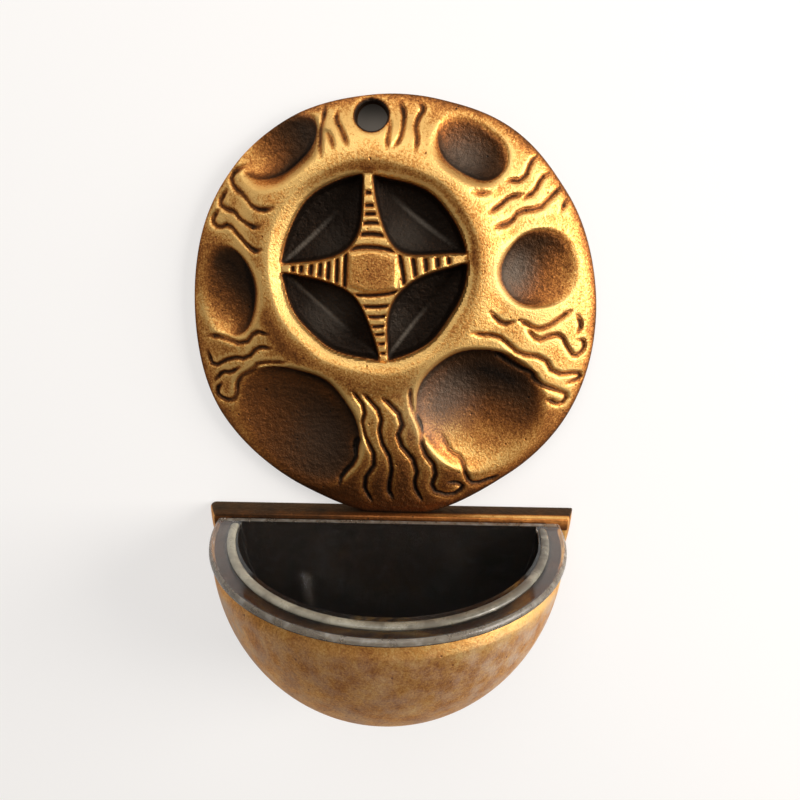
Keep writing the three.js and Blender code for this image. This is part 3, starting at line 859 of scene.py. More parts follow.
def relief_front():
    """The carved front: a square grid drawn into the disc's outline and raised to its heights."""
    deselect()
    bpy.ops.mesh.primitive_grid_add(x_subdivisions=RELIEF_STEPS, y_subdivisions=RELIEF_STEPS, size=2)
    piece = added("medallion_relief")
    a, b = (closer(*row) for row in zip(raw_corners(piece)[:, :2].T, (STAR_X, STAR_Z)))
    u, v = a * np.sqrt(1 - b ** 2 / 2), b * np.sqrt(1 - a ** 2 / 2)
    radius = outline_radius(np.arctan2(v, u))
    x, z = u * radius, v * radius
    move_corners(piece, np.stack([x, -relief_height(x, z), z], 1))
    return piece


def back_cutter():
    """What is cut out of the medallion: recess, hanging hole, strap channel and screw holes."""
    cutter = bore("recess", BACK_RECESS_RADIUS, 0, 0, BACK_RECESS_DEPTH)
    joined(cutter, bore("hole", HOLE_RADIUS, HOLE_X, HOLE_Z, DISC_EDGE + DISC_CROWN + PAST), "UNION")
    joined(cutter, strap_channel(), "UNION")
    for place in screw_places()[:2]:
        joined(cutter, screw_solid("drill", place, SCREW_FIT, PAST), "UNION")
    return cutter


def store_masks(piece):
    """Keeps patina with painted shade, polish, and dust with painted sheen for the medallion's material.
    """
    x, y, z = corners(piece).T
    dark, bright = patina_and_shade_maps(x, z)
    front = relief_height(x, z) + y < BACK_ROUND
    # The patina stored here includes painted shade and light
    store(piece, "patina", np.where(front, dark, PATINA_BACK))
    store(piece, "polish", np.where(front, bright, 0))
    store(piece, "overlay", np.where(front, dust_and_sheen_map(x, z), 0))


def medallion():
    """The disc with its carved front and its hollowed back."""
    piece = relief_front()
    close_back(piece)
    joined(piece, back_cutter(), "DIFFERENCE")
    store_masks(piece)
    smooth(piece, RELIEF_SMOOTH)
    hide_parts("medallion")
    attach(piece, "stoup")
    return piece


def close_back(piece):
    """Draws the front's outline back to the wall, rounds it there and closes it."""
    edit(piece)
    bpy.ops.mesh.region_to_loop()
    back = (DISC_EDGE - BACK_ROUND * 2) * MM
    bpy.ops.mesh.extrude_region_move(TRANSFORM_OT_translate={"value": (0, back, 0)})
    bpy.ops.transform.resize(value=(1, 0, 1), center_override=Vector(to_frame((0, -BACK_ROUND * 2, 0))))
    bpy.ops.mesh.extrude_region_move(TRANSFORM_OT_translate={"value": (0, BACK_ROUND * MM, 0)})
    shrink = 1 - BACK_ROUND / DISC_RADIUS
    middle = Vector(to_frame((0, 0, 0)))
    bpy.ops.transform.resize(value=(shrink, 0, shrink), center_override=middle)
    bpy.ops.mesh.edge_face_add()
    tidy_mesh()
    deselect()


def plate():
    """The half-round plate, with its left top corner rounded."""
    deselect()
    middle = PLATE_TOP - PLATE_CORNER
    bpy.ops.mesh.primitive_circle_add(
        vertices=TURN_STEPS, radius=PLATE_RADIUS * MM, fill_type="NGON",
        location=to_frame((PLATE_X, 0, middle)), rotation=(math.pi / 2, 0, 0),
    )
    piece = added("bowl_casting")
    edit(piece)
    bpy.ops.mesh.bisect(plane_co=Vector(to_frame((0, 0, middle))), plane_no=(0, 0, 1), clear_outer=True)
    bpy.ops.object.mode_set(mode="OBJECT")
    select_corners(piece, corners(piece)[:, 2] > middle - CLOSE)
    bpy.ops.mesh.extrude_region_move(TRANSFORM_OT_translate={"value": (0, 0, PLATE_CORNER * MM)})
    tidy_mesh()
    bpy.ops.object.mode_set(mode="OBJECT")
    places = corners(piece)
    select_corners(piece, (places[:, 2] > PLATE_TOP - CLOSE) & (places[:, 0] < 0))
    offset = PLATE_CORNER * MM * PLATE_CORNER_SHARE
    bpy.ops.mesh.bevel(offset=offset, segments=CORNER_STEPS, affect="VERTICES")
    bpy.ops.mesh.select_all(action="SELECT")
    bpy.ops.mesh.extrude_region_move(TRANSFORM_OT_translate={"value": (0, PLATE_FRONT * MM, 0)})
    share = 1 - PLATE_DRAFT / PLATE_RADIUS
    corner = Vector(to_frame((PLATE_X, PLATE_FRONT, PLATE_TOP)))
    bpy.ops.transform.resize(value=(share, 1, share), center_override=corner)
    tidy_mesh()
    round_edges(piece, PLATE_EDGE_ROUND, PLATE_EDGE_STEPS)
    return piece


def select_corners(piece, chosen):
    """Opens a piece with the chosen vertices selected, and what lies between them."""
    edit(piece)
    bpy.ops.mesh.select_all(action="DESELECT")
    bpy.ops.object.mode_set(mode="OBJECT")
    piece.data.vertices.foreach_set("select", chosen)
    bpy.ops.object.mode_set(mode="EDIT")
    bpy.ops.mesh.select_mode(type="VERT")


def quarter_arc(radius):
    """Points from the pole of a ball to its equator: distance from the axis, and depth."""
    angles = np.linspace(0, math.pi / 2, BALL_STEPS + 1)
    return [(radius * math.sin(angle), radius * math.cos(angle)) for angle in angles]


def bowl_outside():
    """The outer ball, turned round the axis along Y, with a fillet where it meets the plate."""
    profile = []
    for radius, depth in quarter_arc(BOWL_RADIUS):
        flare = max(0, 1 - depth / BOWL_FILLET) ** 2 * BOWL_FILLET
        profile.append((radius + flare, PLATE_FRONT - depth))
    profile[-1] = (profile[-1][0], PLATE_FRONT + SEAM)
    profile.append((0, PLATE_FRONT + SEAM))
    points = [(0, y, BOWL_RIM - radius) for radius, y in profile]
    ball = turned("bowl_ball", points, (0, 0, BOWL_RIM), (0, 1, 0), TURN_STEPS)
    cut_off(ball, (0, 0, BOWL_RIM), (0, 0, 1))
    edit(ball)
    deeper = (1, 1, BOWL_DEPTH / BOWL_RADIUS)
    bpy.ops.transform.resize(value=deeper, center_override=Vector(to_frame((0, 0, BOWL_RIM))))
    deselect()
    draw_in_lip(ball)
    return ball


def draw_in_lip(ball):
    """Leans the bowl's outside inwards along its rim."""
    for share in LIP_PARTS:
        part(ball, (0, 0, BOWL_RIM - LIP_HEIGHT * share), (0, 0, 1))
    places = corners(ball)
    from_axis = places[:, :2] - (0, PLATE_FRONT)
    reach = np.hypot(*from_axis.T)
    height = np.clip(1 - (BOWL_RIM - places[:, 2]) / LIP_HEIGHT, 0, 1)
    in_front = np.clip((PLATE_FRONT - places[:, 1]) / LIP_HEIGHT, 0, 1)
    drawn = LIP_LEAN * height * in_front * (reach > BOWL_INSIDE_RADIUS)
    places[:, :2] -= from_axis * (drawn / np.maximum(reach, 1))[:, None]
    move_corners(ball, places)


def well(name, radius, back, top):
    """A quarter ball with a straight neck up to its top, in front of an upright plane."""
    profile = [(distance, BOWL_RIM - depth) for distance, depth in quarter_arc(radius)]
    profile += [(radius, top), (0, top)]
    points = [(0, PLATE_FRONT - distance, z) for distance, z in profile]
    solid = turned(name, points, (0, PLATE_FRONT, 0), (0, 0, 1), TURN_STEPS)
    cut_off(solid, (0, back, 0), (0, 1, 0))
    return solid


def bowl():
    """The bowl's casting: plate and hollow quarter ball."""
    piece = plate()
    joined(piece, bowl_outside(), "UNION")
    joined(piece, well("cavity", BOWL_INSIDE_RADIUS, PLATE_FRONT, BOWL_RIM + PAST), "DIFFERENCE")
    joined(piece, strap_channel(), "DIFFERENCE")
    drilled(piece, screw_places()[2:])
    smooth(piece)
    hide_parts("bowl")
    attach(piece, "stoup")
    return piece


def liner():
    """The clear liner, turned whole, cut off at the back and hollowed."""
    under, soft = LINER_TOP - RIM_THICKNESS, LINER_ROUND
    profile = [(distance, BOWL_RIM - depth) for distance, depth in quarter_arc(LINER_OUTSIDE_RADIUS)]
    profile += [(LINER_OUTSIDE_RADIUS, under), (RIM_RADIUS - LINER_UNDER_ROUND, under)]
    profile.append((RIM_RADIUS, under + LINER_UNDER_ROUND))
    for turn in np.linspace(0, math.pi / 2, CORNER_STEPS + 1):
        inwards, down = soft * (1 - math.cos(turn)), soft * (1 - math.sin(turn))
        profile.append((RIM_RADIUS - inwards, LINER_TOP - down))
    profile.append((0, LINER_TOP))
    points = [(0, PLATE_FRONT - distance, z) for distance, z in profile]
    piece = turned("liner_clear", points, (0, PLATE_FRONT, 0), (0, 0, 1), TURN_STEPS)
    cut_off(piece, (0, LINER_BACK, 0), (0, 1, 0))
    room = well("room", LINER_INSIDE_RADIUS, LINER_BACK - LINER_WALL, LINER_TOP + PAST)
    round_edges(room, LINER_CORNER, CORNER_STEPS, LINER_CORNER_SHARP)
    joined(piece, room, "DIFFERENCE")
    part(piece, (0, LINER_BACK - LINER_WALL, 0), (0, 1, 0))
    smooth(piece)
    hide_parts("liner")
    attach(piece, "liner")
    return piece


def bead():
    """The pale bead on the inside of the liner's rim, with rounded ends."""
    half = BEAD_WIDTH / 2
    high = (BEAD_RISE + BEAD_SINK) / 2
    middle = LINER_INSIDE_RADIUS + half
    start = math.radians(BEAD_END_ANGLE)
    deselect()
    bpy.ops.mesh.primitive_circle_add(vertices=BEAD_STEPS, radius=1)
    piece = added("liner_bead")
    a, b = raw_corners(piece)[:, :2].T
    reach = middle + a * half
    rise = LINER_TOP - BEAD_SINK + high + b * high
    axis_y = LINER_BACK - LINER_WALL
    move_corners(piece, np.stack([reach * math.cos(start), axis_y - reach * math.sin(start), rise], 1))
    edit(piece)
    axis = Vector(to_frame((0, axis_y, 0)))
    turn = math.pi - 2 * start
    bpy.ops.mesh.spin(steps=TURN_STEPS // 2, angle=turn, center=axis, axis=(0, 0, 1))
    tidy_mesh()
    bpy.ops.object.mode_set(mode="OBJECT")
    for side in (1, -1):
        round_bead_end(piece, side, middle, half, rise.mean(), axis_y)
    smooth(piece, BEAD_SMOOTH)
    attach(piece, "liner")
    return piece


def round_bead_end(piece, side, middle, half, level, axis_y):
    """Draws one open end of the bead to a rounded point."""
    places = corners(piece)
    angle = np.arctan2(axis_y - places[:, 1], places[:, 0] * side)
    select_corners(piece, angle < math.radians(BEAD_END_ANGLE) + 1e-3)
    start = math.radians(BEAD_END_ANGLE)
    centre = np.array((middle * math.cos(start) * side, axis_y - middle * math.sin(start), level))
    outwards = np.array((math.sin(start) * side, math.cos(start), 0)) * half
    turns = [math.radians(turn) for turn in BEAD_END_TURNS]
    for before, now in zip(turns, turns[1:]):
        step = outwards * (math.sin(now) - math.sin(before))
        bpy.ops.mesh.extrude_region_move(TRANSFORM_OT_translate={"value": Vector(step * MM)})
        share = math.cos(now) / math.cos(before)
        pivot = Vector(to_frame(centre + outwards * math.sin(now)))
        bpy.ops.transform.resize(value=(share, share, share), center_override=pivot)
    bpy.ops.mesh.edge_face_add()
    tidy_mesh()
    deselect()


def strap():
    """The strap, with rounded corners and countersunk holes."""
    low = (-STRAP_WIDTH / 2, -STRAP_SINK - STRAP_THICKNESS, STRAP_BOTTOM)
    piece = block("joining_strap_plate", low, (STRAP_WIDTH / 2, -STRAP_SINK, STRAP_TOP))
    edit(piece)
    bpy.ops.mesh.select_mode(type="EDGE")
    bpy.ops.mesh.select_all(action="DESELECT")
    bpy.ops.object.mode_set(mode="OBJECT")
    places = corners(piece)
    for edge in piece.data.edges:
        one, other = (places[index] for index in edge.vertices)
        edge.select = bool(abs(one[1] - other[1]) > STRAP_THICKNESS / 2)
    bpy.ops.object.mode_set(mode="EDIT")
    bpy.ops.mesh.bevel(offset=STRAP_CORNER * MM, segments=CORNER_STEPS, affect="EDGES")
    round_edges(piece, STRAP_EDGE_ROUND, STRAP_EDGE_STEPS)
    drilled(piece, screw_places())
    smooth(piece)
    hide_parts("joining_strap")
    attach(piece, "stoup")
    return piece


def screws():
    """One slotted screw, copied to each of its places."""
    places = screw_places()
    x, z = places[0]
    first = screw_solid("strap_screw_brass_1", places[0], 0, -STRAP_SINK)
    half = SCREW_SLOT_WIDTH / 2
    low = (x - SCREW_HEAD_RADIUS - PAST, -STRAP_SINK - SCREW_SLOT_DEPTH, z - half)
    joined(first, block("slot", low, (x + SCREW_HEAD_RADIUS + PAST, PAST, z + half)), "DIFFERENCE")
    smooth(first)
    pieces = [first]
    for number, place in enumerate(places[1:], 2):
        copy = first.copy()
        copy.data = first.data.copy()
        copy.name = copy.data.name = f"strap_screw_brass_{number}"
        bpy.context.collection.objects.link(copy)
        move_corners(copy, corners(first) + (place[0] - x, 0, place[1] - z))
        pieces.append(copy)
    for number, piece in enumerate(pieces, 1):
        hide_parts(f"strap_screw_{number}")
        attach(piece, "stoup")
    return pieces


# Materials

NUMBER = "NodeSocketFloat"
COLOUR = "NodeSocketColor"


class Nodes:
    """Adds nodes to one tree and joins them."""

    def __init__(self, tree):
        self.tree = tree
        tree.nodes.clear()

    def add(self, kind, inputs=None, **settings):
        """A new node with its settings and inputs."""
        node = self.tree.nodes.new(kind)
        for name, value in settings.items():
            setattr(node, name, value)
        for name, value in (inputs or {}).items():
            self.put(node.inputs[name], value)
        return node

    def put(self, socket, value):
        """Joins an output to a socket, or gives it a plain value."""
        if isinstance(value, bpy.types.NodeSocket):
            self.tree.links.new(value, socket)
        else:
            socket.default_value = value

    def math(self, operation, first, second=0.0, clamp=False):
        """The result of one sum on numbers."""
        node = self.add("ShaderNodeMath", {0: first, 1: second}, operation=operation, use_clamp=clamp)
        return node.outputs[0]

    def times(self, first, second):
        """The product of two numbers."""
        return self.math("MULTIPLY", first, second)

    def plus(self, first, second, clamp=False):
        """The sum of two numbers."""
        return self.math("ADD", first, second, clamp)

    def minus(self, first, second, clamp=False):
        """The first of two numbers less the second."""
        return self.math("SUBTRACT", first, second, clamp)

    def larger(self, first, second):
        """The larger of two numbers."""
        return self.math("MAXIMUM", first, second)

    def ranged(self, value, low, high, new_low=0.0, new_high=1.0):
        """A value between two limits, smoothly brought between two others."""
        limits = {"From Min": low, "From Max": high, "To Min": new_low, "To Max": new_high}
        inputs = {"Value": value, **limits}
        return self.add("ShaderNodeMapRange", inputs, interpolation_type="SMOOTHSTEP").outputs["Result"]

    def noise(self, vector, size, detail=2.0, roughness=0.5):
        """Noise whose lumps are about a size in millimetres."""
        inputs = {"Vector": vector, "Scale": 1 / (size * MM), "Detail": detail, "Roughness": roughness}
        return self.add("ShaderNodeTexNoise", inputs).outputs["Fac"]

    def away(self, vector, place):
        """Distance of a vector from a place."""
        inputs = {0: vector, 1: place}
        return self.add("ShaderNodeVectorMath", inputs, operation="DISTANCE").outputs["Value"]

    def raised(self, height, depth):
        """The normal of a surface raised by a height, at a depth in millimetres."""
        inputs = {"Height": height, "Distance": depth * MM, "Strength": 1.0}
        return self.add("ShaderNodeBump", inputs).outputs["Normal"]

    def ramp(self, value, stops):
        """A colour from stops, each a place and a colour."""
        node = self.add("ShaderNodeValToRGB", {"Fac": value})
        elements = node.color_ramp.elements
        while len(elements) < len(stops):
            elements.new(0.5)
        for element, (place, colour) in zip(elements, stops):
            element.position = place
            element.color = (*colour, 1)
        return node.outputs["Color"]

    def mix(self, share, first, second):
        """A colour between two others."""
        node = self.add("ShaderNodeMix", data_type="RGBA", blend_type="MIX")
        self.put(node.inputs["Factor"], share)
        self.put(node.inputs[6], first)
        self.put(node.inputs[7], second)
        return node.outputs[2]


def new_group(name, inputs, outputs):
    """An empty node group with number inputs and named outputs."""
    tree = bpy.data.node_groups.new(name, "ShaderNodeTree")
    for label, value in inputs.items():
        socket = tree.interface.new_socket(label, in_out="INPUT", socket_type=NUMBER)
        socket.default_value = value
    for label, kind in outputs.items():
        tree.interface.new_socket(label, in_out="OUTPUT", socket_type=kind)
    nodes = Nodes(tree)
    return tree, nodes, nodes.add("NodeGroupInput"), nodes.add("NodeGroupOutput")


# Bronze, from rubbed gold to black patina, with the dust and the film that lie on it, and painted sheen
# and reflection
GOLD_STOPS = (
    (0.0, (0.87, 0.54, 0.182)),
    (0.16, (0.70, 0.335, 0.085)),
    (0.34, (0.44, 0.165, 0.041)),
    (0.52, (0.205, 0.073, 0.022)),
    (0.74, (0.070, 0.032, 0.0145)),
    (1.0, (0.0135, 0.009, 0.0065)),
)
DUST_AND_SHEEN_COLOUR = (0.13, 0.11, 0.088, 1)
FILM_AND_REFLECTION_COLOUR = (0.41, 0.345, 0.285, 1)
EDGE_TINT = (0.88, 0.74, 0.6, 1)

# Grain of the casting, in millimetres, and the share of the cells that have no pit
FINE_GRAIN = 0.34
COARSE_GRAIN = 0.62
CLOUD_SIZE = 6
LUMP_SIZE = 2.4
PIT_SPACING = 2.6
PIT_EDGE = (0.05, 0.16)
PITLESS = 0.72

# How high grain, lumps and pits stand, and how far they and polish shift the tone
SPECKLE_HEIGHT = 0.9
LUMP_HEIGHT = 0.2
PIT_DEPTH = 0.6
SPECKLE_TONE = 1.5
CLOUD_TONE = 0.45
POLISH_TONE = 0.25
PIT_TONE = 0.35


def casting_grain_group():
    """The fine grain, pits and slow unevenness of a sand casting."""
    outputs = {"Speckle": NUMBER, "Cloud": NUMBER, "Pits": NUMBER, "Height": NUMBER}
    tree, nodes, _, out = new_group("casting_grain", {}, outputs)
    place = nodes.add("ShaderNodeTexCoord").outputs["Object"]
    fine = nodes.noise(place, FINE_GRAIN, 2, 0.6)
    coarse = nodes.noise(place, COARSE_GRAIN, 2, 0.55)
    speckle = nodes.plus(nodes.times(fine, 0.5), nodes.times(coarse, 0.5))
    cloud = nodes.noise(place, CLOUD_SIZE, 3, 0.55)
    inputs = {"Vector": place, "Scale": 1 / (PIT_SPACING * MM), "Randomness": 1.0}
    cells = nodes.add("ShaderNodeTexVoronoi", inputs)
    drawn = nodes.add("ShaderNodeSeparateColor", {0: cells.outputs["Color"]}).outputs[0]
    chosen = nodes.math("GREATER_THAN", drawn, PITLESS)
    pit = nodes.times(nodes.ranged(cells.outputs["Distance"], *PIT_EDGE, 1, 0), chosen)
    lumps = nodes.noise(place, LUMP_SIZE, 2, 0.5)
    height = nodes.plus(nodes.times(speckle, SPECKLE_HEIGHT), nodes.times(lumps, LUMP_HEIGHT))
    nodes.put(out.inputs["Speckle"], speckle)
    nodes.put(out.inputs["Cloud"], cloud)
    nodes.put(out.inputs["Pits"], pit)
    nodes.put(out.inputs["Height"], nodes.minus(height, nodes.times(pit, PIT_DEPTH)))
    return tree


def patina_tone_group():
    """Colour, roughness and metal of bronze between polished gold and black patina."""
    inputs = {"Patina": 0.2, "Polish": 0.0, "Speckle": 0.5, "Cloud": 0.5, "Pits": 0.0, "Contrast": 1.0}
    outputs = {"Color": COLOUR, "Roughness": NUMBER, "Metallic": NUMBER}
    tree, nodes, given, out = new_group("patina_tone", inputs, outputs)
    grain = nodes.times(nodes.minus(given.outputs["Speckle"], 0.5), SPECKLE_TONE)
    drift = nodes.times(nodes.minus(given.outputs["Cloud"], 0.5), CLOUD_TONE)
    calm = nodes.ranged(given.outputs["Patina"], 0.25, 0.75, 1, 0.25)
    contrast = nodes.times(given.outputs["Contrast"], calm)
    uneven = nodes.times(nodes.plus(grain, drift), contrast)
    level = nodes.plus(given.outputs["Patina"], uneven)
    level = nodes.minus(level, nodes.times(given.outputs["Polish"], POLISH_TONE))
    level = nodes.plus(level, nodes.times(given.outputs["Pits"], PIT_TONE), clamp=True)
    nodes.put(out.inputs["Color"], nodes.ramp(level, GOLD_STOPS))
    nodes.put(out.inputs["Roughness"], nodes.ranged(level, 0.0, 1.0, 0.5, 0.58))
    nodes.put(out.inputs["Metallic"], nodes.ranged(level, 0.45, 1.0, 1.0, 0.85))
    return tree


# Rough skin under the patina, and how deep the grain is on the two castings
SKIN_SIZE = 1.5
SKIN_HEIGHT = 2.2
RELIEF_GRAIN_DEPTH = 0.25
BOWL_GRAIN_DEPTH = 0.12

# The liner, its scuffed edges with their painted highlight, and its bead, and the brass behind
PLASTIC_COLOUR = (0.66, 0.62, 0.57, 1)
PLASTIC_INDEX = 1.49
SCUFF_AND_HIGHLIGHT_STOPS = ((0.36, (0.42, 0.345, 0.265)), (0.56, (0.52, 0.445, 0.35)), (0.7, (0.84, 0.78, 0.69)))
BEAD_STOPS = ((0.3, (0.48, 0.44, 0.335)), (0.7, (0.14, 0.12, 0.088)))
BRASS_STOPS = ((0.3, (0.62, 0.46, 0.17)), (0.55, (0.46, 0.32, 0.11)), (0.8, (0.22, 0.14, 0.05)))


def new_material(name):
    """A material without nodes, and the means to add them."""
    material = bpy.data.materials.new(name)
    material.use_nodes = True
    return material, Nodes(material.node_tree)


def finish_material(nodes, shader):
    """Puts out a shader as the surface."""
    nodes.add("ShaderNodeOutputMaterial", {"Surface": shader.outputs[0]})


def placed_group(nodes, tree, inputs=None):
    """A node group placed in a material, with its own values."""
    node = nodes.add("ShaderNodeGroup", node_tree=tree)
    for name, value in (inputs or {}).items():
        nodes.put(node.inputs[name], value)
    return node


def rough_skin(nodes, patina):
    """Lumps of the sand mould, left where nobody has rubbed the patina off."""
    place = nodes.add("ShaderNodeTexCoord").outputs["Object"]
    left = nodes.ranged(patina, 0.3, 0.62)
    lumps = nodes.noise(place, SKIN_SIZE, 3, 0.6)
    return nodes.times(lumps, nodes.times(left, SKIN_HEIGHT))


def bronze_surface(nodes, grain, tone, patina, polish, contrast, bump_depth):
    """The bronze shader from masks of patina, with painted light mixed in, and polish."""
    cast = placed_group(nodes, grain)
    height = nodes.plus(cast.outputs["Height"], rough_skin(nodes, patina))
    masks = {name: cast.outputs[name] for name in ("Speckle", "Cloud", "Pits")}
    masks.update({"Patina": patina, "Polish": polish, "Contrast": contrast})
    shade = placed_group(nodes, tone, masks)
    return nodes.add("ShaderNodeBsdfPrincipled", {
        "Base Color": shade.outputs["Color"],
        "Roughness": shade.outputs["Roughness"],
        "Metallic": shade.outputs["Metallic"],
        "Normal": nodes.raised(height, bump_depth),
        "Specular Tint": EDGE_TINT,
    })


def overlaid(nodes, shader, overlay, tint):
    """Lays a pale overlay on a bronze shader: dust with painted sheen on the medallion, a film with
    painted reflection on the bowl.
    """
    colour, metal = (shader.inputs[name].links[0].from_socket for name in ("Base Color", "Metallic"))
    nodes.put(shader.inputs["Base Color"], nodes.mix(overlay, colour, tint))
    clean = nodes.minus(1.0, overlay)
    nodes.put(shader.inputs["Metallic"], nodes.times(metal, clean))
    return shader


def relief_bronze(grain, tone):
    """Bronze of the medallion, from the masks stored in its mesh."""
    material, nodes = new_material("bronze_relief")
    names = "patina", "polish", "overlay"
    stored = [nodes.add("ShaderNodeAttribute", attribute_name=name) for name in names]
    patina, polish, overlay = (node.outputs["Fac"] for node in stored)
    shader = bronze_surface(nodes, grain, tone, patina, polish, 1.0, RELIEF_GRAIN_DEPTH)
    finish_material(nodes, overlaid(nodes, shader, overlay, DUST_AND_SHEEN_COLOUR))
    return material


def near_line(nodes, place, y, z, reach):
    """One along a line through y and z that runs across, nothing beyond a reach."""
    parts = nodes.add("ShaderNodeSeparateXYZ", {0: place})
    _, line_y, line_z = to_frame((0, y, z))
    dy = nodes.minus(parts.outputs["Y"], float(line_y))
    dz = nodes.minus(parts.outputs["Z"], float(line_z))
    squares = nodes.plus(nodes.times(dy, dy), nodes.times(dz, dz))
    return nodes.ranged(nodes.math("SQRT", squares), reach * 0.4 * MM, reach * MM, 1, 0)


def level_of(z):
    """A height of the drawing as a number of the shared frame."""
    return float(to_frame((0, 0, z))[2])


# The bowl's own patina, in millimetres and shares: where its inside and its front end, the rubbed band
# with a painted highlight on its right under its rim, the wear with a painted highlight towards the right
# along the front of the bar, the stains, and the film with a painted reflection at the sides
INSIDE_EDGE = (0.3, 1.5)
FRONT_EDGE = (0.2, 0.6)
UNDER_RIM = (0.5, 0.1)
BAR_EDGE = 0.6
BAND_BELOW_RIM = (7, 3.5)
BAND_LUMPS = 9
BAND_WAVER = 8
BAND_RIGHT = 32
BAND_GOLD = 0.03
BAND_HIGHLIGHT_RIGHT = 0.15
WEAR_AND_HIGHLIGHT_REACH = 3
WEAR_AND_HIGHLIGHT_ACROSS = (-30, 45)
WEAR_AND_HIGHLIGHT_LEFT = 0.12
WEAR_AND_HIGHLIGHT_GOLD = 0.55
STAIN_SIZE = 5
STAIN_STRETCH = 0.45
STAIN_SHARE = 0.5
FILM_SIZE = 4
FILM_NOISE = (0.3, 0.72)
FILM_SHARES = (0.14, 0.78)
FILM_AND_REFLECTION_ACROSS = (12, 42)
FILM_AND_REFLECTION_MIDDLE = 0.45
FILM_BELOW_RIM = 6
BOWL_CONTRAST = 0.6


def bowl_inside(nodes, place, z, in_front):
    """One on the inside of the bowl, up to the top of the liner."""
    away = nodes.away(place, Vector(to_frame((0, PLATE_FRONT, BOWL_RIM))))
    inner, outer = ((BOWL_INSIDE_RADIUS + edge) * MM for edge in INSIDE_EDGE)
    inside = nodes.ranged(away, inner, outer, 1, 0)
    below = nodes.ranged(z, level_of(LINER_TOP), level_of(PLATE_TOP), 1, 0)
    return nodes.times(nodes.times(inside, in_front), below)


def gold_band_and_highlight(nodes, place, x, z, in_front):
    """How much patina is rubbed off along the bowl's rim, with more gold on the right as a painted
    highlight.
    """
    uneven = nodes.minus(nodes.noise(place, BAND_LUMPS, 3, 0.6), 0.5)
    height = nodes.plus(z, nodes.times(uneven, BAND_WAVER * MM))
    band = nodes.ranged(height, *(level_of(BOWL_RIM - below) for below in BAND_BELOW_RIM))
    band = nodes.times(band, in_front)
    # The extra gold on the right is a painted highlight
    right = nodes.times(nodes.ranged(x, 0, BAND_RIGHT * MM), BAND_HIGHLIGHT_RIGHT)
    return nodes.times(band, nodes.plus(right, BAND_GOLD))


def streaked_stain(nodes, place):
    """More and less patina, in stains drawn out downwards."""
    inputs = {0: place, 1: (1, 1, STAIN_STRETCH)}
    streaked = nodes.add("ShaderNodeVectorMath", inputs, operation="MULTIPLY").outputs[0]
    stain = nodes.minus(nodes.noise(streaked, STAIN_SIZE, 4, 0.65), 0.5)
    return nodes.times(stain, STAIN_SHARE)


def film_and_side_reflection(nodes, place, x, z, outside):
    """A pale film on the outside of the bowl below its rim, thicker at the sides, where it is partly a
    painted reflection of the pale wall.
    """
    film_and_reflection = nodes.ranged(nodes.noise(place, FILM_SIZE, 4, 0.6), *FILM_NOISE, *FILM_SHARES)
    # Thicker at the sides: painted reflection of the pale wall
    near, far = (across * MM for across in FILM_AND_REFLECTION_ACROSS)
    sides = nodes.ranged(nodes.math("ABSOLUTE", x), near, far, FILM_AND_REFLECTION_MIDDLE, 1)
    below = nodes.ranged(z, level_of(BOWL_RIM - FILM_BELOW_RIM), level_of(BOWL_RIM), 1, 0)
    where = nodes.times(nodes.times(sides, below), outside)
    return nodes.times(film_and_reflection, where)


def bowl_bronze(grain, tone):
    """Bronze of the bowl: dark inside, brown outside, worn along the front of the bar, with painted
    highlights on the right of its rim and bar.
    """
    material, nodes = new_material("bronze_bowl")
    place = nodes.add("ShaderNodeTexCoord").outputs["Object"]
    x, y, z = nodes.add("ShaderNodeSeparateXYZ", {0: place}).outputs
    front, behind = ((PLATE_FRONT + edge) * MM for edge in FRONT_EDGE)
    in_front = nodes.ranged(y, front, behind, 1, 0)
    dark = bowl_inside(nodes, place, z, in_front)
    start, full = (level_of(BOWL_RIM - below) for below in UNDER_RIM)
    under_liner = nodes.ranged(z, start, full, 0, PATINA_RIM)
    bar = nodes.ranged(z, level_of(LINER_TOP), level_of(LINER_TOP + BAR_EDGE), 0, PATINA_BAR)
    # Gold along the bar's front edge, lighter towards the right: partly wear, partly a painted highlight
    left, right = (across * MM for across in WEAR_AND_HIGHLIGHT_ACROSS)
    rubbed = nodes.ranged(x, left, right, WEAR_AND_HIGHLIGHT_LEFT, 1)
    worn_and_highlit = nodes.times(near_line(nodes, place, PLATE_FRONT, PLATE_TOP, WEAR_AND_HIGHLIGHT_REACH), rubbed)
    patina = nodes.minus(PATINA_BOWL, gold_band_and_highlight(nodes, place, x, z, in_front))
    patina = nodes.plus(patina, bar)
    patina = nodes.minus(patina, nodes.times(worn_and_highlit, WEAR_AND_HIGHLIGHT_GOLD))
    patina = nodes.larger(patina, nodes.times(under_liner, in_front))
    patina = nodes.larger(patina, nodes.times(dark, PATINA_INSIDE))
    patina = nodes.plus(patina, streaked_stain(nodes, place))
    outside = nodes.minus(in_front, dark, clamp=True)
    film_and_reflection = film_and_side_reflection(nodes, place, x, z, outside)
    shader = bronze_surface(nodes, grain, tone, patina, worn_and_highlit, BOWL_CONTRAST, BOWL_GRAIN_DEPTH)
    finish_material(nodes, overlaid(nodes, shader, film_and_reflection, FILM_AND_REFLECTION_COLOUR))
    return material


def clear_plastic():
    """Clear, slightly grey, with faint scuffs."""
    material, nodes = new_material("liner_clear")
    place = nodes.add("ShaderNodeTexCoord").outputs["Object"]
    mottle = nodes.noise(place, 3, 4, 0.65)
    finish_material(nodes, nodes.add("ShaderNodeBsdfPrincipled", {
        "Base Color": PLASTIC_COLOUR,
        "Roughness": nodes.ranged(mottle, 0.4, 0.75, 0.05, 0.16),
        "Transmission Weight": 0.985,
        "IOR": PLASTIC_INDEX,
        "Specular IOR Level": 0.25,
        "Normal": nodes.raised(nodes.noise(place, 9, 1, 0.4), 0.05),
    }))
    return material


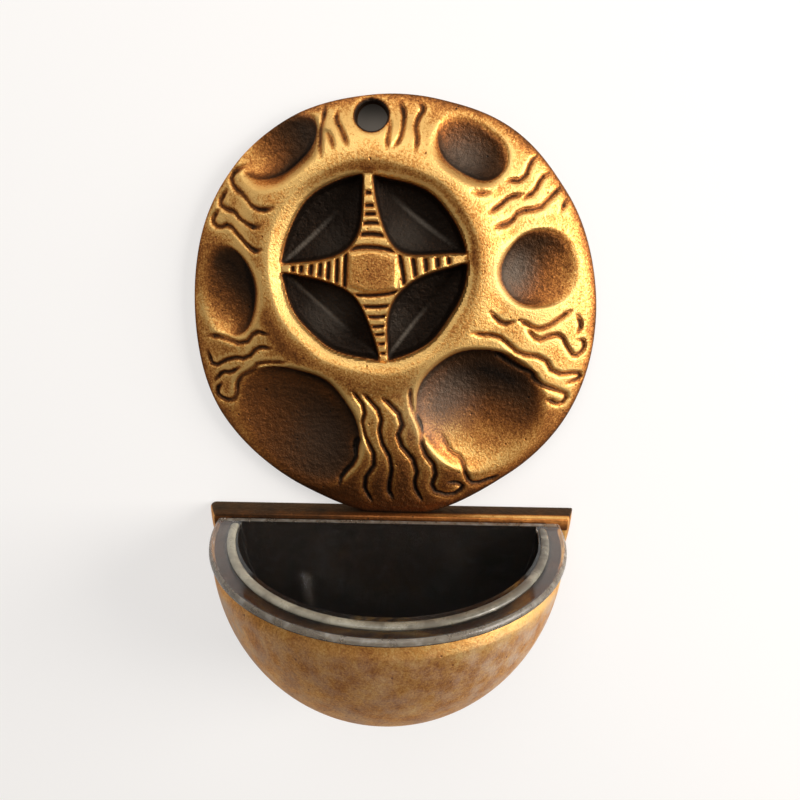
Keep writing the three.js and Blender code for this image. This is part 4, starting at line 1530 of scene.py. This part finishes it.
def scuffed_highlit_plastic():
    """The liner's handled edges: frosted by wear, with pale scuffs and a painted highlight."""
    material, nodes = new_material("liner_scuffed_highlit")
    place = nodes.add("ShaderNodeTexCoord").outputs["Object"]
    mottle = nodes.noise(place, 2.2, 2, 0.5)
    finish_material(nodes, nodes.add("ShaderNodeBsdfPrincipled", {
        "Base Color": nodes.ramp(mottle, SCUFF_AND_HIGHLIGHT_STOPS),
        "Roughness": nodes.ranged(mottle, 0.35, 0.7, 0.25, 0.45),
        "Transmission Weight": 0.75,
        "IOR": PLASTIC_INDEX,
        "Specular IOR Level": 0.3,
    }))
    return material


def scuff_and_highlight_edges(piece, material):
    """Gives the liner's rounded edge and the top of its back wall a second material, pale as a painted
    highlight.
    """
    piece.data.materials.append(material)
    for face in piece.data.polygons:
        x, y, z = np.array(face.center) / MM + (HOLE_X, 0, HOLE_Z)
        on_rim = math.hypot(x, y - PLATE_FRONT) > RIM_RADIUS - LINER_ROUND
        on_edge = on_rim and 0.1 < face.normal.z < 0.95
        on_back = y > LINER_BACK - LINER_WALL and z > LINER_TOP - FINE
        face.material_index = int(on_edge or on_back)


def pale_bead():
    """The bead: milky, a little yellowed, darker where dust has settled and towards the right."""
    material, nodes = new_material("bead_milky")
    place = nodes.add("ShaderNodeTexCoord").outputs["Object"]
    overlay = nodes.noise(place, 4, 4, 0.6)
    across = nodes.add("ShaderNodeSeparateXYZ", {0: place}).outputs["X"]
    aged = nodes.plus(overlay, nodes.ranged(across, -40 * MM, 20 * MM, -0.15, 0.15))
    finish_material(nodes, nodes.add("ShaderNodeBsdfPrincipled", {
        "Base Color": nodes.ramp(aged, BEAD_STOPS),
        "Roughness": nodes.ranged(overlay, 0.3, 0.7, 0.22, 0.4),
        "Transmission Weight": 0.25,
        "IOR": PLASTIC_INDEX,
    }))
    return material


def dull_brass(grain):
    """Rolled brass of the strap and screws, dulled and spotted."""
    material, nodes = new_material("brass_dull")
    cast = placed_group(nodes, grain)
    clouds = nodes.times(cast.outputs["Cloud"], 0.8)
    tarnish = nodes.plus(clouds, nodes.times(cast.outputs["Speckle"], 0.25))
    finish_material(nodes, nodes.add("ShaderNodeBsdfPrincipled", {
        "Base Color": nodes.ramp(tarnish, BRASS_STOPS),
        "Roughness": nodes.ranged(tarnish, 0.3, 0.8, 0.28, 0.5),
        "Metallic": 1.0,
        "Normal": nodes.raised(cast.outputs["Height"], 0.04),
    }))
    return material


def dress(piece, material):
    """Gives a piece one material."""
    piece.data.materials.clear()
    piece.data.materials.append(material)


# Backdrop, light and camera

# The wall is open behind the castings up to a margin, apart from a round patch behind the hanging hole
WALL_SIZE = 3.0
WALL_BEHIND = 0.4
WALL_COLOUR = (0.975, 0.953, 0.932, 1)
WALL_GLOW = 0.6
OPEN_MARGIN = 4
HOLE_PATCH = HOLE_RADIUS * 2

# Shade of the wall behind the hanging hole: radius, heights and colours
SHADE_RADIUS = HOLE_RADIUS * 1.4
SHADE_HEIGHTS = (-2, 4.5)
SHADE_STOPS = ((0.0, (0.14, 0.12, 0.1)), (1.0, (0.02, 0.017, 0.014)))

# Soft lamps: place and size in metres, power and colour
SOFTBOXES = {
    "key_right": ((0.66, -0.33, 0.10), 0.42, 7.2, (1, 0.97, 0.93)),
    "fill_above": ((-0.10, -0.55, 0.55), 0.6, 3.2, (1, 1, 1)),
}
LAMP_TARGET = (0, -10, -30)
WORLD_COLOUR = (1.0, 0.975, 0.95, 1)
WORLD_STRENGTH = 0.26


def wall_opening(nodes, place, height, from_hole):
    """One where the wall is open behind the castings."""
    disc = nodes.away(place, Vector(to_frame((0, WALL_BEHIND, 0))))
    plate_middle = (0, WALL_BEHIND, PLATE_TOP - PLATE_CORNER)
    half_round = nodes.away(place, Vector(to_frame(plate_middle)))
    within_disc = nodes.math("LESS_THAN", disc, (DISC_RADIUS - OPEN_MARGIN) * MM)
    within_plate = nodes.math("LESS_THAN", half_round, (PLATE_RADIUS - OPEN_MARGIN) * MM)
    under_bar = nodes.math("LESS_THAN", height, level_of(PLATE_TOP - OPEN_MARGIN))
    off_hole = nodes.math("GREATER_THAN", from_hole, HOLE_PATCH * MM)
    behind_bowl = nodes.times(within_plate, under_bar)
    return nodes.larger(behind_bowl, nodes.times(within_disc, off_hole))


def wall_surface(nodes, colour):
    """A matt wall that shows its own colour to the camera, and in metal and glass."""
    lit = nodes.add("ShaderNodeBsdfDiffuse", {"Color": colour})
    glow = nodes.add("ShaderNodeEmission", {"Color": colour, "Strength": 1.0})
    ray = nodes.add("ShaderNodeLightPath").outputs
    mirrored = nodes.larger(ray["Is Glossy Ray"], ray["Is Transmission Ray"])
    seen = nodes.times(nodes.larger(ray["Is Camera Ray"], mirrored), WALL_GLOW)
    return nodes.add("ShaderNodeMixShader", {0: seen, 1: lit.outputs[0], 2: glow.outputs[0]})


def wall():
    """A pale wall, open behind the castings and clear from behind so that their backs are lit."""
    deselect()
    spot = to_frame((0, WALL_BEHIND, PLATE_TOP))
    bpy.ops.mesh.primitive_plane_add(size=WALL_SIZE, location=spot, rotation=(math.pi / 2, 0, 0))
    piece = added("wall")
    material, nodes = new_material("wall_pale")
    place = nodes.add("ShaderNodeTexCoord").outputs["Object"]
    height = nodes.add("ShaderNodeSeparateXYZ", {0: place}).outputs["Z"]
    from_hole = nodes.add("ShaderNodeVectorMath", {0: place}, operation="LENGTH").outputs["Value"]
    low, high = (value * MM for value in SHADE_HEIGHTS)
    shade = nodes.ramp(nodes.ranged(height, low, high), SHADE_STOPS)
    in_shade = nodes.math("LESS_THAN", from_hole, SHADE_RADIUS * MM)
    pale = wall_surface(nodes, nodes.mix(in_shade, WALL_COLOUR, shade))
    backfacing = nodes.add("ShaderNodeNewGeometry").outputs["Backfacing"]
    share = nodes.larger(backfacing, wall_opening(nodes, place, height, from_hole))
    clear = nodes.add("ShaderNodeBsdfTransparent")
    inputs = {0: share, 1: pale.outputs[0], 2: clear.outputs[0]}
    finish_material(nodes, nodes.add("ShaderNodeMixShader", inputs))
    dress(piece, material)


def softbox(name, place, size, power, colour):
    """A square lamp that looks at the middle of the stoup."""
    lamp = bpy.data.lights.new(name, "AREA")
    lamp.size = size
    lamp.energy = power
    lamp.color = colour
    holder = bpy.data.objects.new(name, lamp)
    bpy.context.collection.objects.link(holder)
    holder.location = place
    target = Vector(to_frame(LAMP_TARGET))
    holder.rotation_euler = (target - holder.location).to_track_quat("-Z", "Y").to_euler()


def light():
    """The lamps and an even, dim surrounding."""
    for name, values in SOFTBOXES.items():
        softbox(name, *values)
    world = bpy.data.worlds.new("studio")
    world.use_nodes = True
    nodes = Nodes(world.node_tree)
    sky = nodes.add("ShaderNodeBackground", {"Color": WORLD_COLOUR, "Strength": WORLD_STRENGTH})
    nodes.add("ShaderNodeOutputWorld", {"Surface": sky.outputs[0]})
    bpy.context.scene.world = world


# Camera fitted to the photo: place in millimetres, lens, and angles in radians
CAMERA_PLACE = (6.884, -148.86, -28.63)
CAMERA_LENS = 24.336
CAMERA_SENSOR = 36
CAMERA_NEAR = 0.005
CAMERA_PITCH = 0.2852
CAMERA_YAW = 0.01
CAMERA_ROLL = 0.023


def camera():
    """The camera that took the photo."""
    data = bpy.data.cameras.new("photo_camera")
    data.lens = CAMERA_LENS
    data.sensor_width = CAMERA_SENSOR
    data.clip_start = CAMERA_NEAR
    holder = bpy.data.objects.new("photo_camera", data)
    bpy.context.collection.objects.link(holder)
    level = math.cos(CAMERA_PITCH)
    ahead = Vector((math.sin(CAMERA_YAW) * level, math.cos(CAMERA_YAW) * level, -math.sin(CAMERA_PITCH)))
    right = Vector((math.cos(CAMERA_YAW), -math.sin(CAMERA_YAW), 0))
    facing = Matrix((right, right.cross(ahead), -ahead)).transposed().to_4x4()
    place = Matrix.Translation(Vector(CAMERA_PLACE) * MM)
    holder.matrix_world = place @ facing @ Matrix.Rotation(CAMERA_ROLL, 4, "Z")
    bpy.context.scene.camera = holder


camera()
light()
wall()
grain = casting_grain_group()
tone = patina_tone_group()
brass = dull_brass(grain)
dress(medallion(), relief_bronze(grain, tone))
dress(bowl(), bowl_bronze(grain, tone))
clear = liner()
dress(clear, clear_plastic())
scuff_and_highlight_edges(clear, scuffed_highlit_plastic())
dress(bead(), pale_bead())
dress(strap(), brass)
for screw in screws():
    dress(screw, brass)
bpy.context.scene.view_settings.view_transform = "Standard"
deselect()
